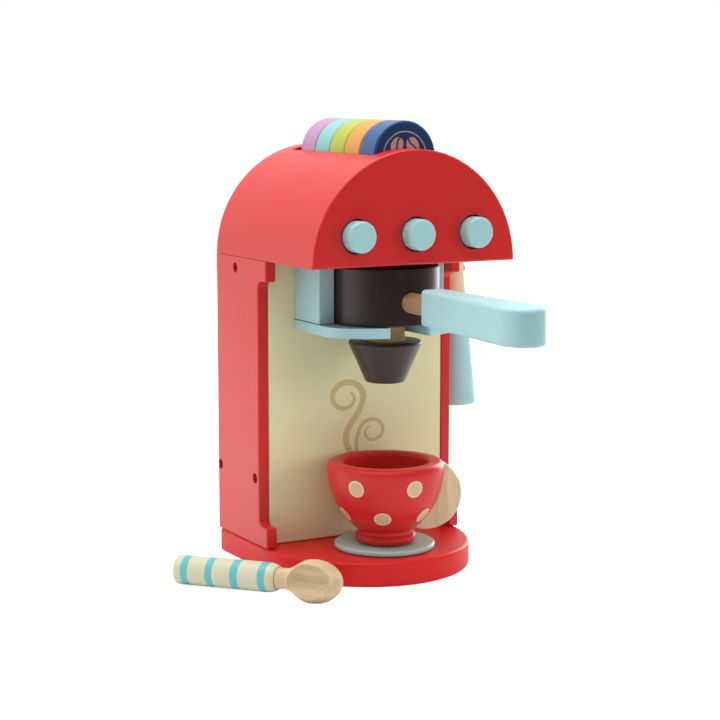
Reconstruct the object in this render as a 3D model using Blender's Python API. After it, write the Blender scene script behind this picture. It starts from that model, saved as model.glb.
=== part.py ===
"""Wooden toy coffee maker with five pods, a cup and a spoon.

The origin is on the underside of the base, straight below the spout.  +Z is up
and -Y is the front, where the child stands.  Every length is in metres.
"""

import math

import bmesh
import bpy
from mathutils import Matrix, Vector

# Clearances and shared edge sizes
SEAT_GAP = 0.0003
CUT_OVERRUN = 0.002
WELD_DISTANCE = 0.000001
BOARD_ROUNDING = 0.0012
BLOCK_ROUNDING = 0.0006

# Body, measured back from the brew axis, which is the origin's upright
BODY_WIDTH = 0.1450
PANEL_WAIST_DEPTH = 0.0633
PANEL_TAB_REACH = 0.0117
PANEL_THICKNESS = 0.0074
BODY_HEIGHT = 0.2033
TAB_HEIGHT = 0.0133
FOOT_HEIGHT = 0.0135
COVE_RADIUS = 0.0050
FRONT_WALL_THICKNESS = 0.0116
BACK_PANEL_THICKNESS = 0.0080
TOP_RAIL_THICKNESS = 0.0147
BOTTOM_RAIL_THICKNESS = 0.0150

# Base board
BASE_SIDE_STEP = 0.0009
BASE_REACH = 0.0437
BASE_NOSE_DEPTH = 0.0790
BASE_THICKNESS = 0.0160
BASE_ROUNDING = 0.0022

# Hood
HOOD_REACH = 0.0394
HOOD_ARC_DROP = 0.0008
HOOD_FRONT_THICKNESS = 0.0144
HOOD_BACK_THICKNESS = 0.0134
HOOD_SKIN_THICKNESS = 0.0074
HOOD_FLOOR_THICKNESS = 0.0060
HOOD_ROUNDING = 0.0016

# Pods and the trough that they stand in
POD_WIDTH_SHARE = 0.3062
POD_ROW_SHARE = 0.8913
POD_CHAMFER = 0.0009
POD_CENTRE_DROP = 0.0049
POD_SIDE_PLAY = 0.0006
TROUGH_WALL = 0.0030
TROUGH_CHAMFER = 0.0060

# Push buttons
BUTTON_EDGE_ROOM = 0.0061
BUTTON_RADIUS = 0.0098
BUTTON_HOLE_RADIUS = 0.0108
BUTTON_PROTRUSION = 0.0080
BUTTON_DOME = 0.0018
BUTTON_FLANGE_RADIUS = 0.0125
BUTTON_FLANGE_THICKNESS = 0.0030
BUTTON_STEM_RADIUS = 0.0034
BUTTON_STEM_TAIL = 0.0025
SPRING_LENGTH = 0.0120
SPRING_COIL_RADIUS = 0.0058
SPRING_WIRE_RADIUS = 0.0006
SPRING_TURNS = 3
SPRING_POINTS_PER_TURN = 9
RAIL_THICKNESS = 0.0060
RAIL_COVER = 0.0030
RAIL_HOLE_RADIUS = 0.0040

# Group head: block, fork plate and what slides in it
BLOCK_HEIGHT = 0.0392
BLOCK_FRONT = 0.0035
BLOCK_CHEEK = 0.0104
BLOCK_BACK_WALL = 0.0023
PLATE_OVERHANG = 0.0005
PLATE_NOSE_START = 0.0030
PLATE_NOSE_BACKSET = 0.0007
PLATE_THICKNESS = 0.0065
PLATE_ROUNDING = 0.0018
SLOT_PLAY = 0.0006
PRONG_ROUNDING = 0.0045
FILTER_PLAY = 0.0009
FILTER_HEADROOM = 0.0025
FILTER_ROUNDING = 0.0012
NECK_RADIUS = 0.0129
NECK_TENON = 0.0080
SPOUT_DROP = 0.0118
SPOUT_HEIGHT = 0.0270
SPOUT_TOP_RADIUS = 0.0240
SPOUT_BOTTOM_RADIUS = 0.0128
SPOUT_ROUNDING = 0.0016
HANDLE_TURN_DEG = -1.2
HANDLE_DOWEL_RADIUS = 0.0065
HANDLE_DOWEL_SEAT = 0.0135
HANDLE_DOWEL_TENON = 0.0150
HANDLE_START = 0.0600
HANDLE_END = 0.1797
HANDLE_NOSE = 0.0182
HANDLE_ROOT_HALF = 0.0082
HANDLE_END_HALF = 0.0142
HANDLE_RISE = 0.0042
HANDLE_THICKNESS = 0.0226
HANDLE_ROOT_ROUNDING = 0.0030
HANDLE_ROUNDING = 0.0026

# Hotplate and cup
HOTPLATE_RADIUS = 0.0327
HOTPLATE_THICKNESS = 0.0034
HOTPLATE_ROUNDING = 0.0012
CUP_HEIGHT = 0.0536
CUP_RADIUS = 0.0382
CUP_FORWARD = 0.0010
CUP_WALL_GAP = 0.0007
CUP_LIP_ROUNDING = 0.0044
CUP_WALL = 0.0105
CUP_MOUTH_ROUNDING = 0.0030
CUP_WAIST_RADIUS = 0.0182
CUP_WAIST_HEIGHT = 0.0086
CUP_FOOT_RADIUS = 0.0200
CUP_FOOT_ROUNDING = 0.0034
CUP_FLOOR = 0.0120
CUP_EAR_RADIUS = 0.0234
CUP_EAR_THICKNESS = 0.0086
CUP_EAR_INSET = 0.0120
CUP_EAR_HEIGHT = 0.0310
CUP_EAR_BED = 0.0042
CUP_EAR_TURN_DEG = -22.0
CUP_EAR_ROUNDING = 0.0012

# Steam wand on the right side
WAND_SIDE_ROOM = 0.0020
WAND_SETBACK = 0.0243
WAND_PIVOT_DROP = 0.0143
WAND_HEAD = 0.0135
WAND_LENGTH = 0.0943
WAND_TOP_RADIUS = 0.0052
WAND_PIVOT_RADIUS = 0.0063
WAND_BOTTOM_RADIUS = 0.0157
WAND_ROUNDING = 0.0024
PIN_RADIUS = 0.0030
SHOULDER_RADIUS = 0.0055
PIN_SEAT_FLOOR = 0.0014
CAP_RADIUS = 0.0042
CAP_BED = 0.0034
CAP_LENGTH = 0.0026
CAP_SEAT = 0.0012
CAP_ROUNDING = 0.0006
WAND_SIDE_GAP = 0.0009

# Spoon on the table beside the machine
SPOON_SIDE_ROOM = 0.0595
SPOON_END_Y = 0.0318
SPOON_TURN_DEG = -55.2
SPOON_GRIP_RADIUS = 0.0094
SPOON_GRIP_LENGTH = 0.0712
SPOON_GRIP_DOME = 0.0010
SPOON_SHOULDER_LENGTH = 0.0085
SPOON_SHOULDER_DROP = 0.0026
SPOON_NECK_RADIUS = 0.0066
SPOON_NECK_LENGTH = 0.0055
SPOON_TENON_RADIUS = 0.0040
SPOON_TENON_LENGTH = 0.0100
SPOON_BOWL_PLACE = 0.0960
SPOON_BOWL_RADIUS = 0.0136
SPOON_BOWL_NOSE = 0.0190
SPOON_BOWL_FLAT = 0.0010
SPOON_SCOOP_LENGTH = 0.0300
SPOON_SCOOP_WIDTH = 0.0215
SPOON_SCOOP_DEPTH = 0.0062
SPOON_SCOOP_RIM = 0.0088
SPOON_SCOOP_ROLL_DEG = 80.0

# Screws
SCREW_HEAD_RADIUS = 0.0031
SCREW_HEAD_LENGTH = 0.0022
SCREW_SINK = 0.0020
SCREW_SHANK_RADIUS = 0.0013
SCREW_BITE = 0.0130
SCREW_FLOOR_BITE = 0.0048
SCREW_SOCKET_RADIUS = 0.0014
SCREW_SOCKET_DEPTH = 0.0014
BACK_SCREW_HEIGHT = 0.0606
FRONT_SCREW_HEIGHT = 0.0602
BASE_SCREW_SPREAD = 0.0400
HOOD_SCREW_SPREAD = 0.0300
BLOCK_SCREW_INSET = 0.0055
BLOCK_SCREW_RISE = 0.0199

# Mesh fineness
FINE_STEPS = 40
ROUND_STEPS = 32
DOWEL_STEPS = 24
PIN_STEPS = 14
SCREW_STEPS = 10
NOSE_STEPS = 30
CURVE_STEPS = 6
ARC_STEPS = 3

# Places that follow from the sizes above
WALL_FRONT_Y = CUP_RADIUS - CUP_FORWARD + CUP_WALL_GAP
BACK_Y = PANEL_WAIST_DEPTH + WALL_FRONT_Y
PANEL_FRONT_Y = WALL_FRONT_Y - PANEL_TAB_REACH
WALL_BACK_Y = WALL_FRONT_Y + FRONT_WALL_THICKNESS
BACK_PANEL_Y = BACK_Y - BACK_PANEL_THICKNESS
BODY_FLOOR_Z = BASE_THICKNESS + SEAT_GAP
INNER_HALF_WIDTH = BODY_WIDTH / 2 - PANEL_THICKNESS - SEAT_GAP
TOP_RAIL_Z = BODY_HEIGHT - TOP_RAIL_THICKNESS
HOOD_UNDERSIDE = BODY_HEIGHT + SEAT_GAP
HOOD_ARC_Z = HOOD_UNDERSIDE - HOOD_ARC_DROP
HOOD_RADIUS = BODY_WIDTH / 2
HOOD_FRONT_Y = -HOOD_REACH
HOOD_FRONT_INNER_Y = HOOD_FRONT_Y + HOOD_FRONT_THICKNESS
HOOD_BACK_INNER_Y = BACK_Y - HOOD_BACK_THICKNESS
HOOD_INNER_RADIUS = HOOD_RADIUS - HOOD_SKIN_THICKNESS
HOOD_FLOOR_TOP = HOOD_UNDERSIDE + HOOD_FLOOR_THICKNESS
TROUGH_FRONT_Y = HOOD_FRONT_INNER_Y + SEAT_GAP
TROUGH_BACK_Y = HOOD_BACK_INNER_Y - SEAT_GAP
POD_RADIUS = POD_WIDTH_SHARE * HOOD_RADIUS
POD_CENTRE_HEIGHT = HOOD_ARC_Z + HOOD_RADIUS - POD_CENTRE_DROP
TROUGH_RADIUS = POD_RADIUS + POD_SIDE_PLAY
TROUGH_HALF_WIDTH = TROUGH_RADIUS + TROUGH_WALL
TROUGH_CENTRE_Z = POD_CENTRE_HEIGHT + POD_SIDE_PLAY - SEAT_GAP
BUTTON_Z = HOOD_FLOOR_TOP + 2 * SEAT_GAP + BUTTON_FLANGE_RADIUS
BUTTON_SWEEP = HOOD_INNER_RADIUS - BUTTON_FLANGE_RADIUS - BUTTON_EDGE_ROOM
BUTTON_SPACING = math.sqrt(BUTTON_SWEEP**2 - (BUTTON_Z - HOOD_ARC_Z) ** 2)
BUTTON_BACK_Y = HOOD_FRONT_INNER_Y + SEAT_GAP
SPRING_FRONT_Y = BUTTON_BACK_Y + BUTTON_FLANGE_THICKNESS
RAIL_Y = SPRING_FRONT_Y + SPRING_LENGTH
RECESS_RADIUS = WALL_FRONT_Y - BLOCK_BACK_WALL
FILTER_RADIUS = RECESS_RADIUS - FILTER_PLAY
BLOCK_HALF_WIDTH = RECESS_RADIUS + BLOCK_CHEEK
PLATE_HALF_WIDTH = BLOCK_HALF_WIDTH + PLATE_OVERHANG
PLATE_NOSE_DEPTH = FILTER_RADIUS - PLATE_NOSE_BACKSET - PLATE_NOSE_START
SLOT_HALF_WIDTH = NECK_RADIUS + SLOT_PLAY
FILTER_BOTTOM = BODY_HEIGHT - BLOCK_HEIGHT
FILTER_TOP = BODY_HEIGHT - FILTER_HEADROOM
PLATE_TOP = FILTER_BOTTOM - SEAT_GAP
SPOUT_TOP = PLATE_TOP - SPOUT_DROP
SPOUT_BOTTOM = SPOUT_TOP - SPOUT_HEIGHT
HANDLE_AXIS_Z = PLATE_TOP + HANDLE_RISE + HANDLE_THICKNESS / 2
HOTPLATE_TOP = BODY_FLOOR_Z + HOTPLATE_THICKNESS
CUP_BOTTOM = HOTPLATE_TOP + SEAT_GAP
CUP_MOUTH_RADIUS = CUP_RADIUS - CUP_WALL
CUP_EAR_REACH = CUP_RADIUS - CUP_EAR_INSET
WAND_OFFSET = BODY_WIDTH / 2 + WAND_BOTTOM_RADIUS + WAND_SIDE_ROOM
WAND_Y = WALL_FRONT_Y + WAND_SETBACK
WAND_PIVOT_HEIGHT = BODY_HEIGHT - WAND_PIVOT_DROP
SPOON_END_X = BASE_SIDE_STEP - BODY_WIDTH / 2 - SPOON_SIDE_ROOM

# Colours as red, green and blue in linear light
RED = (0.62, 0.035, 0.028)
CREAM = (0.72, 0.66, 0.42)
SKY = (0.35, 0.62, 0.64)
SLATE = (0.30, 0.42, 0.42)
COCOA = (0.045, 0.028, 0.026)
BEECH = (0.58, 0.38, 0.19)
STEEL = (0.55, 0.55, 0.57)
POD_COLOURS = {
    "pod_blue": (0.06, 0.19, 0.52),
    "pod_orange": (0.93, 0.47, 0.10),
    "pod_lime": (0.60, 0.72, 0.11),
    "pod_aqua": (0.36, 0.74, 0.70),
    "pod_lilac": (0.62, 0.36, 0.60),
}


def clear_scene():
    """Remove every object that a new Blender file holds."""
    for obj in list(bpy.data.objects):
        bpy.data.objects.remove(obj, do_unlink=True)


def finish(name, colour, roughness=0.45, metallic=0.0):
    """Return the named material, made once."""
    material = bpy.data.materials.get(name) or bpy.data.materials.new(name)
    material.use_nodes = True
    shader = material.node_tree.nodes["Principled BSDF"]
    shader.inputs["Base Color"].default_value = (*colour, 1.0)
    shader.inputs["Roughness"].default_value = roughness
    shader.inputs["Metallic"].default_value = metallic
    material.diffuse_color = (*colour, 1.0)
    return material


def link(obj, material=None, parent=None):
    """Put an object in the scene, with its material and parent."""
    bpy.context.scene.collection.objects.link(obj)
    if material is not None:
        obj.data.materials.append(material)
    if parent is not None:
        obj.parent = parent
    return obj


def mesh_data(name, mesh):
    """Turn a bmesh into smooth-shaded mesh data and free it."""
    data = bpy.data.meshes.new(name)
    mesh.to_mesh(data)
    mesh.free()
    data.shade_smooth()
    data.set_sharp_from_angle(angle=math.radians(28))
    return data


def add_piece(name, mesh, material, at=(0, 0, 0), parent=None):
    """Make one sub-part from a bmesh that is drawn round its own origin."""
    obj = bpy.data.objects.new(name, mesh_data(name, mesh))
    obj.location = at
    return link(obj, material, parent)


def pivot(name, at, turn=0.0):
    """Make the empty that stands on a moving body's joint axis."""
    empty = bpy.data.objects.new(name, None)
    empty.location = at
    empty.rotation_euler = (0, 0, turn)
    return link(empty)


def cut(target, mesh, name, parent=None, at=(0, 0, 0)):
    """Take a cutter's shape out of a sub-part with a live Boolean."""
    cutter = bpy.data.objects.new(name, mesh_data(name, mesh))
    cutter.location = at
    cutter.hide_render = True
    cutter.display_type = "WIRE"
    link(cutter, parent=parent)
    modifier = target.modifiers.new(name, "BOOLEAN")
    modifier.operation = "DIFFERENCE"
    modifier.object = cutter
    return cutter


def prism(outline, axis, low, high):
    """Extrude a closed outline along X, Y or Z, between two heights."""
    mesh = bmesh.new()
    along = "XYZ".index(axis)
    first, second = [index for index in range(len("XYZ")) if index != along]
    place = Vector((0, 0, 0))
    place[along] = low
    verts = []
    for point in outline:
        place[first], place[second] = point
        verts.append(mesh.verts.new(place))
    travel = Vector((0, 0, 0))
    travel[along] = high - low
    face = mesh.faces.new(verts)
    grown = bmesh.ops.extrude_face_region(mesh, geom=[face])
    moved = [item for item in grown["geom"] if isinstance(item, bmesh.types.BMVert)]
    bmesh.ops.translate(mesh, verts=moved, vec=travel)
    bmesh.ops.recalc_face_normals(mesh, faces=mesh.faces)
    return mesh


def box(low, high):
    """Make a box between two corners."""
    outline = [(low[0], low[1]), (high[0], low[1]), (high[0], high[1]), (low[0], high[1])]
    return prism(outline, "Z", low[2], high[2])


def round_edges(mesh, width, segments=2, wanted=None):
    """Round the sharp edges of a bmesh, or only those that `wanted` picks."""
    sharp = [
        edge
        for edge in mesh.edges
        if edge.calc_face_angle(0.0) > math.radians(35) and (wanted is None or wanted(edge))
    ]
    bmesh.ops.bevel(
        mesh, geom=sharp, offset=width, segments=segments, profile=0.5,
        affect="EDGES", material=-1, clamp_overlap=True,
    )
    return mesh


def is_level(edge):
    """Tell whether an edge lies at one height."""
    return abs(edge.verts[0].co.z - edge.verts[1].co.z) < WELD_DISTANCE


def clear_of(edge, y):
    """Tell whether neither end of an edge touches a plane across Y."""
    return min(abs(vert.co.y - y) for vert in edge.verts) > WELD_DISTANCE


def leaves(edge, y):
    """Tell whether an edge doesn't lie in a plane across Y."""
    return max(abs(vert.co.y - y) for vert in edge.verts) > WELD_DISTANCE


def turned(profile, steps=DOWEL_STEPS):
    """Turn a profile of (radius, height) pairs round the Z axis."""
    mesh = bmesh.new()
    verts = [mesh.verts.new((radius, 0.0, height)) for radius, height in profile]
    edges = [mesh.edges.new(pair) for pair in zip(verts, verts[1:])]
    bmesh.ops.spin(
        mesh, geom=verts + edges, cent=(0, 0, 0), axis=(0, 0, 1),
        angle=math.tau, steps=steps, use_merge=True,
    )
    bmesh.ops.remove_doubles(mesh, verts=mesh.verts, dist=WELD_DISTANCE)
    bmesh.ops.recalc_face_normals(mesh, faces=mesh.faces)
    return mesh


def rod(radius, low, high, steps=DOWEL_STEPS, rounding=0.0):
    """Make an upright round bar, with softened ends if asked."""
    if rounding:
        profile = [
            (0, low), (radius - rounding, low), (radius, low + rounding),
            (radius, high - rounding), (radius - rounding, high), (0, high),
        ]
    else:
        profile = [(0, low), (radius, low), (radius, high), (0, high)]
    return turned(profile, steps)


def aim(mesh, direction):
    """Turn a bmesh whose axis is +Z to point along a direction."""
    turn = Vector((0, 0, 1)).rotation_difference(Vector(direction)).to_matrix()
    bmesh.ops.rotate(mesh, verts=mesh.verts, cent=(0, 0, 0), matrix=turn)
    return mesh


def arc(centre, radius, start_deg, end_deg, steps=ARC_STEPS):
    """Return the points of a circular arc in a plane."""
    points = []
    for step in range(steps + 1):
        angle = math.radians(start_deg + (end_deg - start_deg) * step / steps)
        points.append((centre[0] + radius * math.cos(angle), centre[1] + radius * math.sin(angle)))
    return points


def nosed_outline(half_width, back, nose_start, nose_depth, steps=NOSE_STEPS):
    """Return a D-shaped plan: straight sides and an elliptical nose at -Y."""
    points = [(half_width, back)]
    for step in range(steps + 1):
        angle = math.pi * step / steps
        points.append((half_width * math.cos(angle), nose_start - nose_depth * math.sin(angle)))
    points.append((-half_width, back))
    return points


def hood_outline(radius, floor, steps=FINE_STEPS):
    """Return the arched outline of the hood, flat at its floor."""
    start = math.degrees(math.asin((floor - HOOD_ARC_Z) / radius))
    return arc((0, HOOD_ARC_Z), radius, start, 180 - start, steps)


def build_base(red):
    """Make the base board, straight at the back with a rounded nose."""
    half = BODY_WIDTH / 2 - BASE_SIDE_STEP
    nose_start = BASE_NOSE_DEPTH - BASE_REACH
    outline = nosed_outline(half, BACK_Y, nose_start, BASE_NOSE_DEPTH, FINE_STEPS)
    mesh = prism(outline, "Z", 0.0, BASE_THICKNESS)
    round_edges(mesh, BASE_ROUNDING, 2)
    return add_piece("base_board", mesh, red)


def side_outline():
    """Return the side panel's outline, stepped in between tab and foot."""
    foot_top = BODY_FLOOR_Z + FOOT_HEIGHT
    tab_bottom = BODY_HEIGHT - TAB_HEIGHT
    cove_y = WALL_FRONT_Y - COVE_RADIUS
    points = [(BACK_Y, BODY_FLOOR_Z), (PANEL_FRONT_Y, BODY_FLOOR_Z), (PANEL_FRONT_Y, foot_top)]
    points += arc((cove_y, foot_top + COVE_RADIUS), COVE_RADIUS, -90, 0)
    points += arc((cove_y, tab_bottom - COVE_RADIUS), COVE_RADIUS, 0, 90)
    points += [(PANEL_FRONT_Y, tab_bottom), (PANEL_FRONT_Y, BODY_HEIGHT), (BACK_Y, BODY_HEIGHT)]
    return points


def build_body(red, cream, beech):
    """Side panels, front wall, back panel and the rails between them."""
    pieces = {}
    outer = BODY_WIDTH / 2
    for side, low in (("left", -outer), ("right", outer - PANEL_THICKNESS)):
        mesh = prism(side_outline(), "X", low, low + PANEL_THICKNESS)
        round_edges(mesh, BOARD_ROUNDING, 2)
        pieces[side] = add_piece("side_panel_" + side, mesh, red)
    inner = INNER_HALF_WIDTH
    wall = box((-inner, WALL_FRONT_Y, BODY_FLOOR_Z), (inner, WALL_BACK_Y, BODY_HEIGHT))
    pieces["wall"] = add_piece("front_wall", round_edges(wall, BLOCK_ROUNDING, 1), cream)
    back = box((-inner, BACK_PANEL_Y, BODY_FLOOR_Z), (inner, BACK_Y, BODY_HEIGHT))
    pieces["back"] = add_piece("back_panel", round_edges(back, BLOCK_ROUNDING, 1), red)
    front = WALL_BACK_Y + SEAT_GAP
    rear = BACK_PANEL_Y - SEAT_GAP
    top = box((-inner, front, TOP_RAIL_Z), (inner, rear, BODY_HEIGHT))
    pieces["top"] = add_piece("top_rail", top, beech)
    foot = box((-inner, front, BODY_FLOOR_Z), (inner, rear, BODY_FLOOR_Z + BOTTOM_RAIL_THICKNESS))
    pieces["bottom"] = add_piece("bottom_rail", foot, beech)
    return pieces


def hood_skin(sign):
    """Return one bent side of the hood, from its foot to the pod slot."""
    slot_half = TROUGH_RADIUS
    foot = math.asin((HOOD_UNDERSIDE - HOOD_ARC_Z) / HOOD_RADIUS)
    inner_foot = math.asin((HOOD_UNDERSIDE - HOOD_ARC_Z) / HOOD_INNER_RADIUS)
    crown = math.acos(slot_half / HOOD_RADIUS)
    inner_crown = math.acos(slot_half / HOOD_INNER_RADIUS)
    steps = FINE_STEPS // 2
    centre = (0, HOOD_ARC_Z)
    half = arc(centre, HOOD_RADIUS, math.degrees(foot), math.degrees(crown), steps)
    half += arc(centre, HOOD_INNER_RADIUS, math.degrees(inner_crown), math.degrees(inner_foot), steps)
    outline = [(sign * x, z) for x, z in half]
    return prism(outline, "Y", TROUGH_FRONT_Y, TROUGH_BACK_Y)


def build_hood(red, beech):
    """End boards, bent sides, floor and the trough that holds the pods."""
    pieces = {}
    outline = hood_outline(HOOD_RADIUS, HOOD_UNDERSIDE)
    front = prism(outline, "Y", HOOD_FRONT_Y, HOOD_FRONT_INNER_Y)
    round_edges(front, HOOD_ROUNDING, 2, lambda edge: clear_of(edge, HOOD_FRONT_INNER_Y))
    pieces["front"] = add_piece("hood_front_board", front, red)
    back = prism(outline, "Y", HOOD_BACK_INNER_Y, BACK_Y)
    round_edges(back, HOOD_ROUNDING, 2, lambda edge: clear_of(edge, HOOD_BACK_INNER_Y))
    pieces["back"] = add_piece("hood_back_board", back, red)
    pieces["left"] = add_piece("hood_side_left", hood_skin(-1), red)
    pieces["right"] = add_piece("hood_side_right", hood_skin(1), red)
    half = math.sqrt(HOOD_INNER_RADIUS**2 - (HOOD_FLOOR_TOP - HOOD_ARC_Z) ** 2) - SEAT_GAP
    floor = box((-half, TROUGH_FRONT_Y, HOOD_UNDERSIDE), (half, TROUGH_BACK_Y, HOOD_FLOOR_TOP))
    pieces["floor"] = add_piece("hood_floor", floor, red)
    pieces["trough"] = add_piece("pod_trough", trough_mesh(), beech)
    return pieces


def trough_mesh():
    """Return the grooved block that the pods stand in, under the bent sides."""
    outer = TROUGH_HALF_WIDTH
    rim = HOOD_ARC_Z + math.sqrt(HOOD_INNER_RADIUS**2 - outer**2) - SEAT_GAP
    underside = TROUGH_CENTRE_Z - TROUGH_RADIUS - TROUGH_WALL
    lip = math.asin((rim - TROUGH_CENTRE_Z) / TROUGH_RADIUS)
    outline = [(outer, rim), (outer, underside + TROUGH_CHAMFER), (outer - TROUGH_CHAMFER, underside)]
    outline += [(TROUGH_CHAMFER - outer, underside), (-outer, underside + TROUGH_CHAMFER), (-outer, rim)]
    start = -180 - math.degrees(lip)
    end = math.degrees(lip)
    outline += arc((0, TROUGH_CENTRE_Z), TROUGH_RADIUS, start, end, DOWEL_STEPS)
    return prism(outline, "Y", TROUGH_FRONT_Y, TROUGH_BACK_Y)


def build_pods():
    """Five round pods that stand in the slot, each with its own joint."""
    pitch = POD_ROW_SHARE * (TROUGH_BACK_Y - TROUGH_FRONT_Y) / len(POD_COLOURS)
    half = (pitch - SEAT_GAP) / 2
    rim = POD_RADIUS - POD_CHAMFER
    profile = [
        (0, -half), (rim, -half), (POD_RADIUS, POD_CHAMFER - half),
        (POD_RADIUS, half - POD_CHAMFER), (rim, half), (0, half),
    ]
    data = mesh_data("pod", aim(turned(profile, ROUND_STEPS), (0, 1, 0)))
    for index, (name, colour) in enumerate(POD_COLOURS.items()):
        y = TROUGH_FRONT_Y + half + index * pitch
        pod = bpy.data.objects.new(name, data.copy())
        pod.location = (0, y, POD_CENTRE_HEIGHT)
        link(pod, finish(name + "_paint", colour))


def button_mesh():
    """Return a push button that points along -Y, with flange and stem."""
    face = BUTTON_BACK_Y - HOOD_FRONT_Y + BUTTON_PROTRUSION
    flange = BUTTON_FLANGE_THICKNESS
    tail = flange + SPRING_LENGTH + RAIL_THICKNESS + BUTTON_STEM_TAIL
    profile = [(0, face)]
    profile += arc((BUTTON_RADIUS - BUTTON_DOME, face - BUTTON_DOME), BUTTON_DOME, 90, 0)
    profile += [
        (BUTTON_RADIUS, 0), (BUTTON_FLANGE_RADIUS, 0), (BUTTON_FLANGE_RADIUS, -flange),
        (BUTTON_STEM_RADIUS, -flange), (BUTTON_STEM_RADIUS, -tail), (0, -tail),
    ]
    profile.reverse()
    return aim(turned(profile), (0, -1, 0))


def spring_curve():
    """Return the compression spring's wire, round the Y axis."""
    curve = bpy.data.curves.new("button_spring", "CURVE")
    curve.dimensions = "3D"
    curve.bevel_depth = SPRING_WIRE_RADIUS
    curve.bevel_resolution = 0
    curve.use_fill_caps = True
    count = SPRING_TURNS * SPRING_POINTS_PER_TURN + 1
    spline = curve.splines.new("POLY")
    spline.points.add(count - 1)
    ends = SEAT_GAP + SPRING_WIRE_RADIUS
    span = SPRING_LENGTH - 2 * ends
    for index in range(count):
        turn = math.tau * index / SPRING_POINTS_PER_TURN
        x = SPRING_COIL_RADIUS * math.cos(turn)
        z = SPRING_COIL_RADIUS * math.sin(turn)
        spline.points[index].co = (x, ends + span * index / (count - 1), z, 1)
    return curve


def build_buttons(sky, steel, beech, front_board):
    """Three sprung push buttons and the rail that their stems slide in."""
    rail_low = HOOD_FLOOR_TOP + SEAT_GAP
    rail_top = BUTTON_Z + RAIL_HOLE_RADIUS + RAIL_COVER
    half = math.sqrt(HOOD_INNER_RADIUS**2 - (rail_top - HOOD_ARC_Z) ** 2) - SEAT_GAP
    mesh = box((-half, RAIL_Y, rail_low), (half, RAIL_Y + RAIL_THICKNESS, rail_top))
    rail = add_piece("button_rail", mesh, beech)
    hole_depth = HOOD_FRONT_THICKNESS + 2 * CUT_OVERRUN
    for side, x in (("left", -BUTTON_SPACING), ("middle", 0.0), ("right", BUTTON_SPACING)):
        at = (x, BUTTON_BACK_Y, BUTTON_Z)
        add_piece("button_" + side, button_mesh(), sky, at)
        hole = aim(rod(BUTTON_HOLE_RADIUS, 0, hole_depth), (0, -1, 0))
        hole_at = (x, HOOD_FRONT_INNER_Y + CUT_OVERRUN, BUTTON_Z)
        cut(front_board, hole, "button_hole_" + side, at=hole_at)
        bore = rod(RAIL_HOLE_RADIUS, -CUT_OVERRUN, RAIL_THICKNESS + CUT_OVERRUN, PIN_STEPS)
        cut(rail, aim(bore, (0, 1, 0)), "rail_hole_" + side, at=(x, RAIL_Y, BUTTON_Z))
        spring = bpy.data.objects.new("button_spring_" + side, spring_curve())
        spring.location = (x, SPRING_FRONT_Y, BUTTON_Z)
        link(spring, steel)


def build_group_head(sky):
    """Hollowed block under the hood and the fork plate below it."""
    back = WALL_FRONT_Y - SEAT_GAP
    mesh = box((-BLOCK_HALF_WIDTH, BLOCK_FRONT, FILTER_BOTTOM), (BLOCK_HALF_WIDTH, back, BODY_HEIGHT))
    block = add_piece("group_block", round_edges(mesh, BLOCK_ROUNDING, 1), sky)
    recess = rod(RECESS_RADIUS, FILTER_BOTTOM - CUT_OVERRUN, BODY_HEIGHT + CUT_OVERRUN, FINE_STEPS)
    cut(block, recess, "filter_recess")
    add_piece("fork_plate", fork_mesh(back), sky)
    return block


def fork_mesh(back):
    """Return the fork plate: a D with a round-ended slot from its nose."""
    centre = -PLATE_NOSE_START
    share = SLOT_HALF_WIDTH / PLATE_HALF_WIDTH
    mouth = math.acos(share)
    steps = NOSE_STEPS // 2
    right = [(PLATE_HALF_WIDTH, back)]
    for step in range(steps + 1):
        angle = mouth * step / steps
        x = PLATE_HALF_WIDTH * math.cos(angle)
        right.append((x, centre - PLATE_NOSE_DEPTH * math.sin(angle)))
    slot = arc((0, 0), SLOT_HALF_WIDTH, 0, 180, DOWEL_STEPS // 2)
    left = [(-x, y) for x, y in reversed(right)]
    mesh = prism(right + slot + left, "Z", PLATE_TOP - PLATE_THICKNESS, PLATE_TOP)
    tips = [
        edge for edge in mesh.edges
        if abs(edge.verts[0].co.z - edge.verts[1].co.z) > WELD_DISTANCE
        and abs(abs(edge.verts[0].co.x) - SLOT_HALF_WIDTH) < WELD_DISTANCE
        and edge.verts[0].co.y < centre
    ]
    bmesh.ops.bevel(
        mesh, geom=tips, offset=PRONG_ROUNDING, segments=4, profile=0.5,
        affect="EDGES", material=-1,
    )
    return round_edges(mesh, PLATE_ROUNDING, 2, lambda edge: is_level(edge) and leaves(edge, back))


def handle_mesh():
    """Return the paddle handle, which widens towards its round end."""
    nose_centre = HANDLE_END - HANDLE_NOSE
    outline = [(HANDLE_ROOT_HALF, -HANDLE_START)]
    for step in range(NOSE_STEPS // 2 + 1):
        angle = math.pi * step / (NOSE_STEPS // 2)
        x = HANDLE_END_HALF * math.cos(angle)
        outline.append((x, -nose_centre - HANDLE_NOSE * math.sin(angle)))
    outline.append((-HANDLE_ROOT_HALF, -HANDLE_START))
    mesh = prism(outline, "Z", -HANDLE_THICKNESS / 2, HANDLE_THICKNESS / 2)
    corners = [
        edge for edge in mesh.edges
        if not is_level(edge) and edge.verts[0].co.y > -HANDLE_START - WELD_DISTANCE
    ]
    bmesh.ops.bevel(
        mesh, geom=corners, offset=HANDLE_ROOT_ROUNDING, segments=3, profile=0.5,
        affect="EDGES", material=-1,
    )
    return round_edges(mesh, HANDLE_ROUNDING, 3, is_level)


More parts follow.
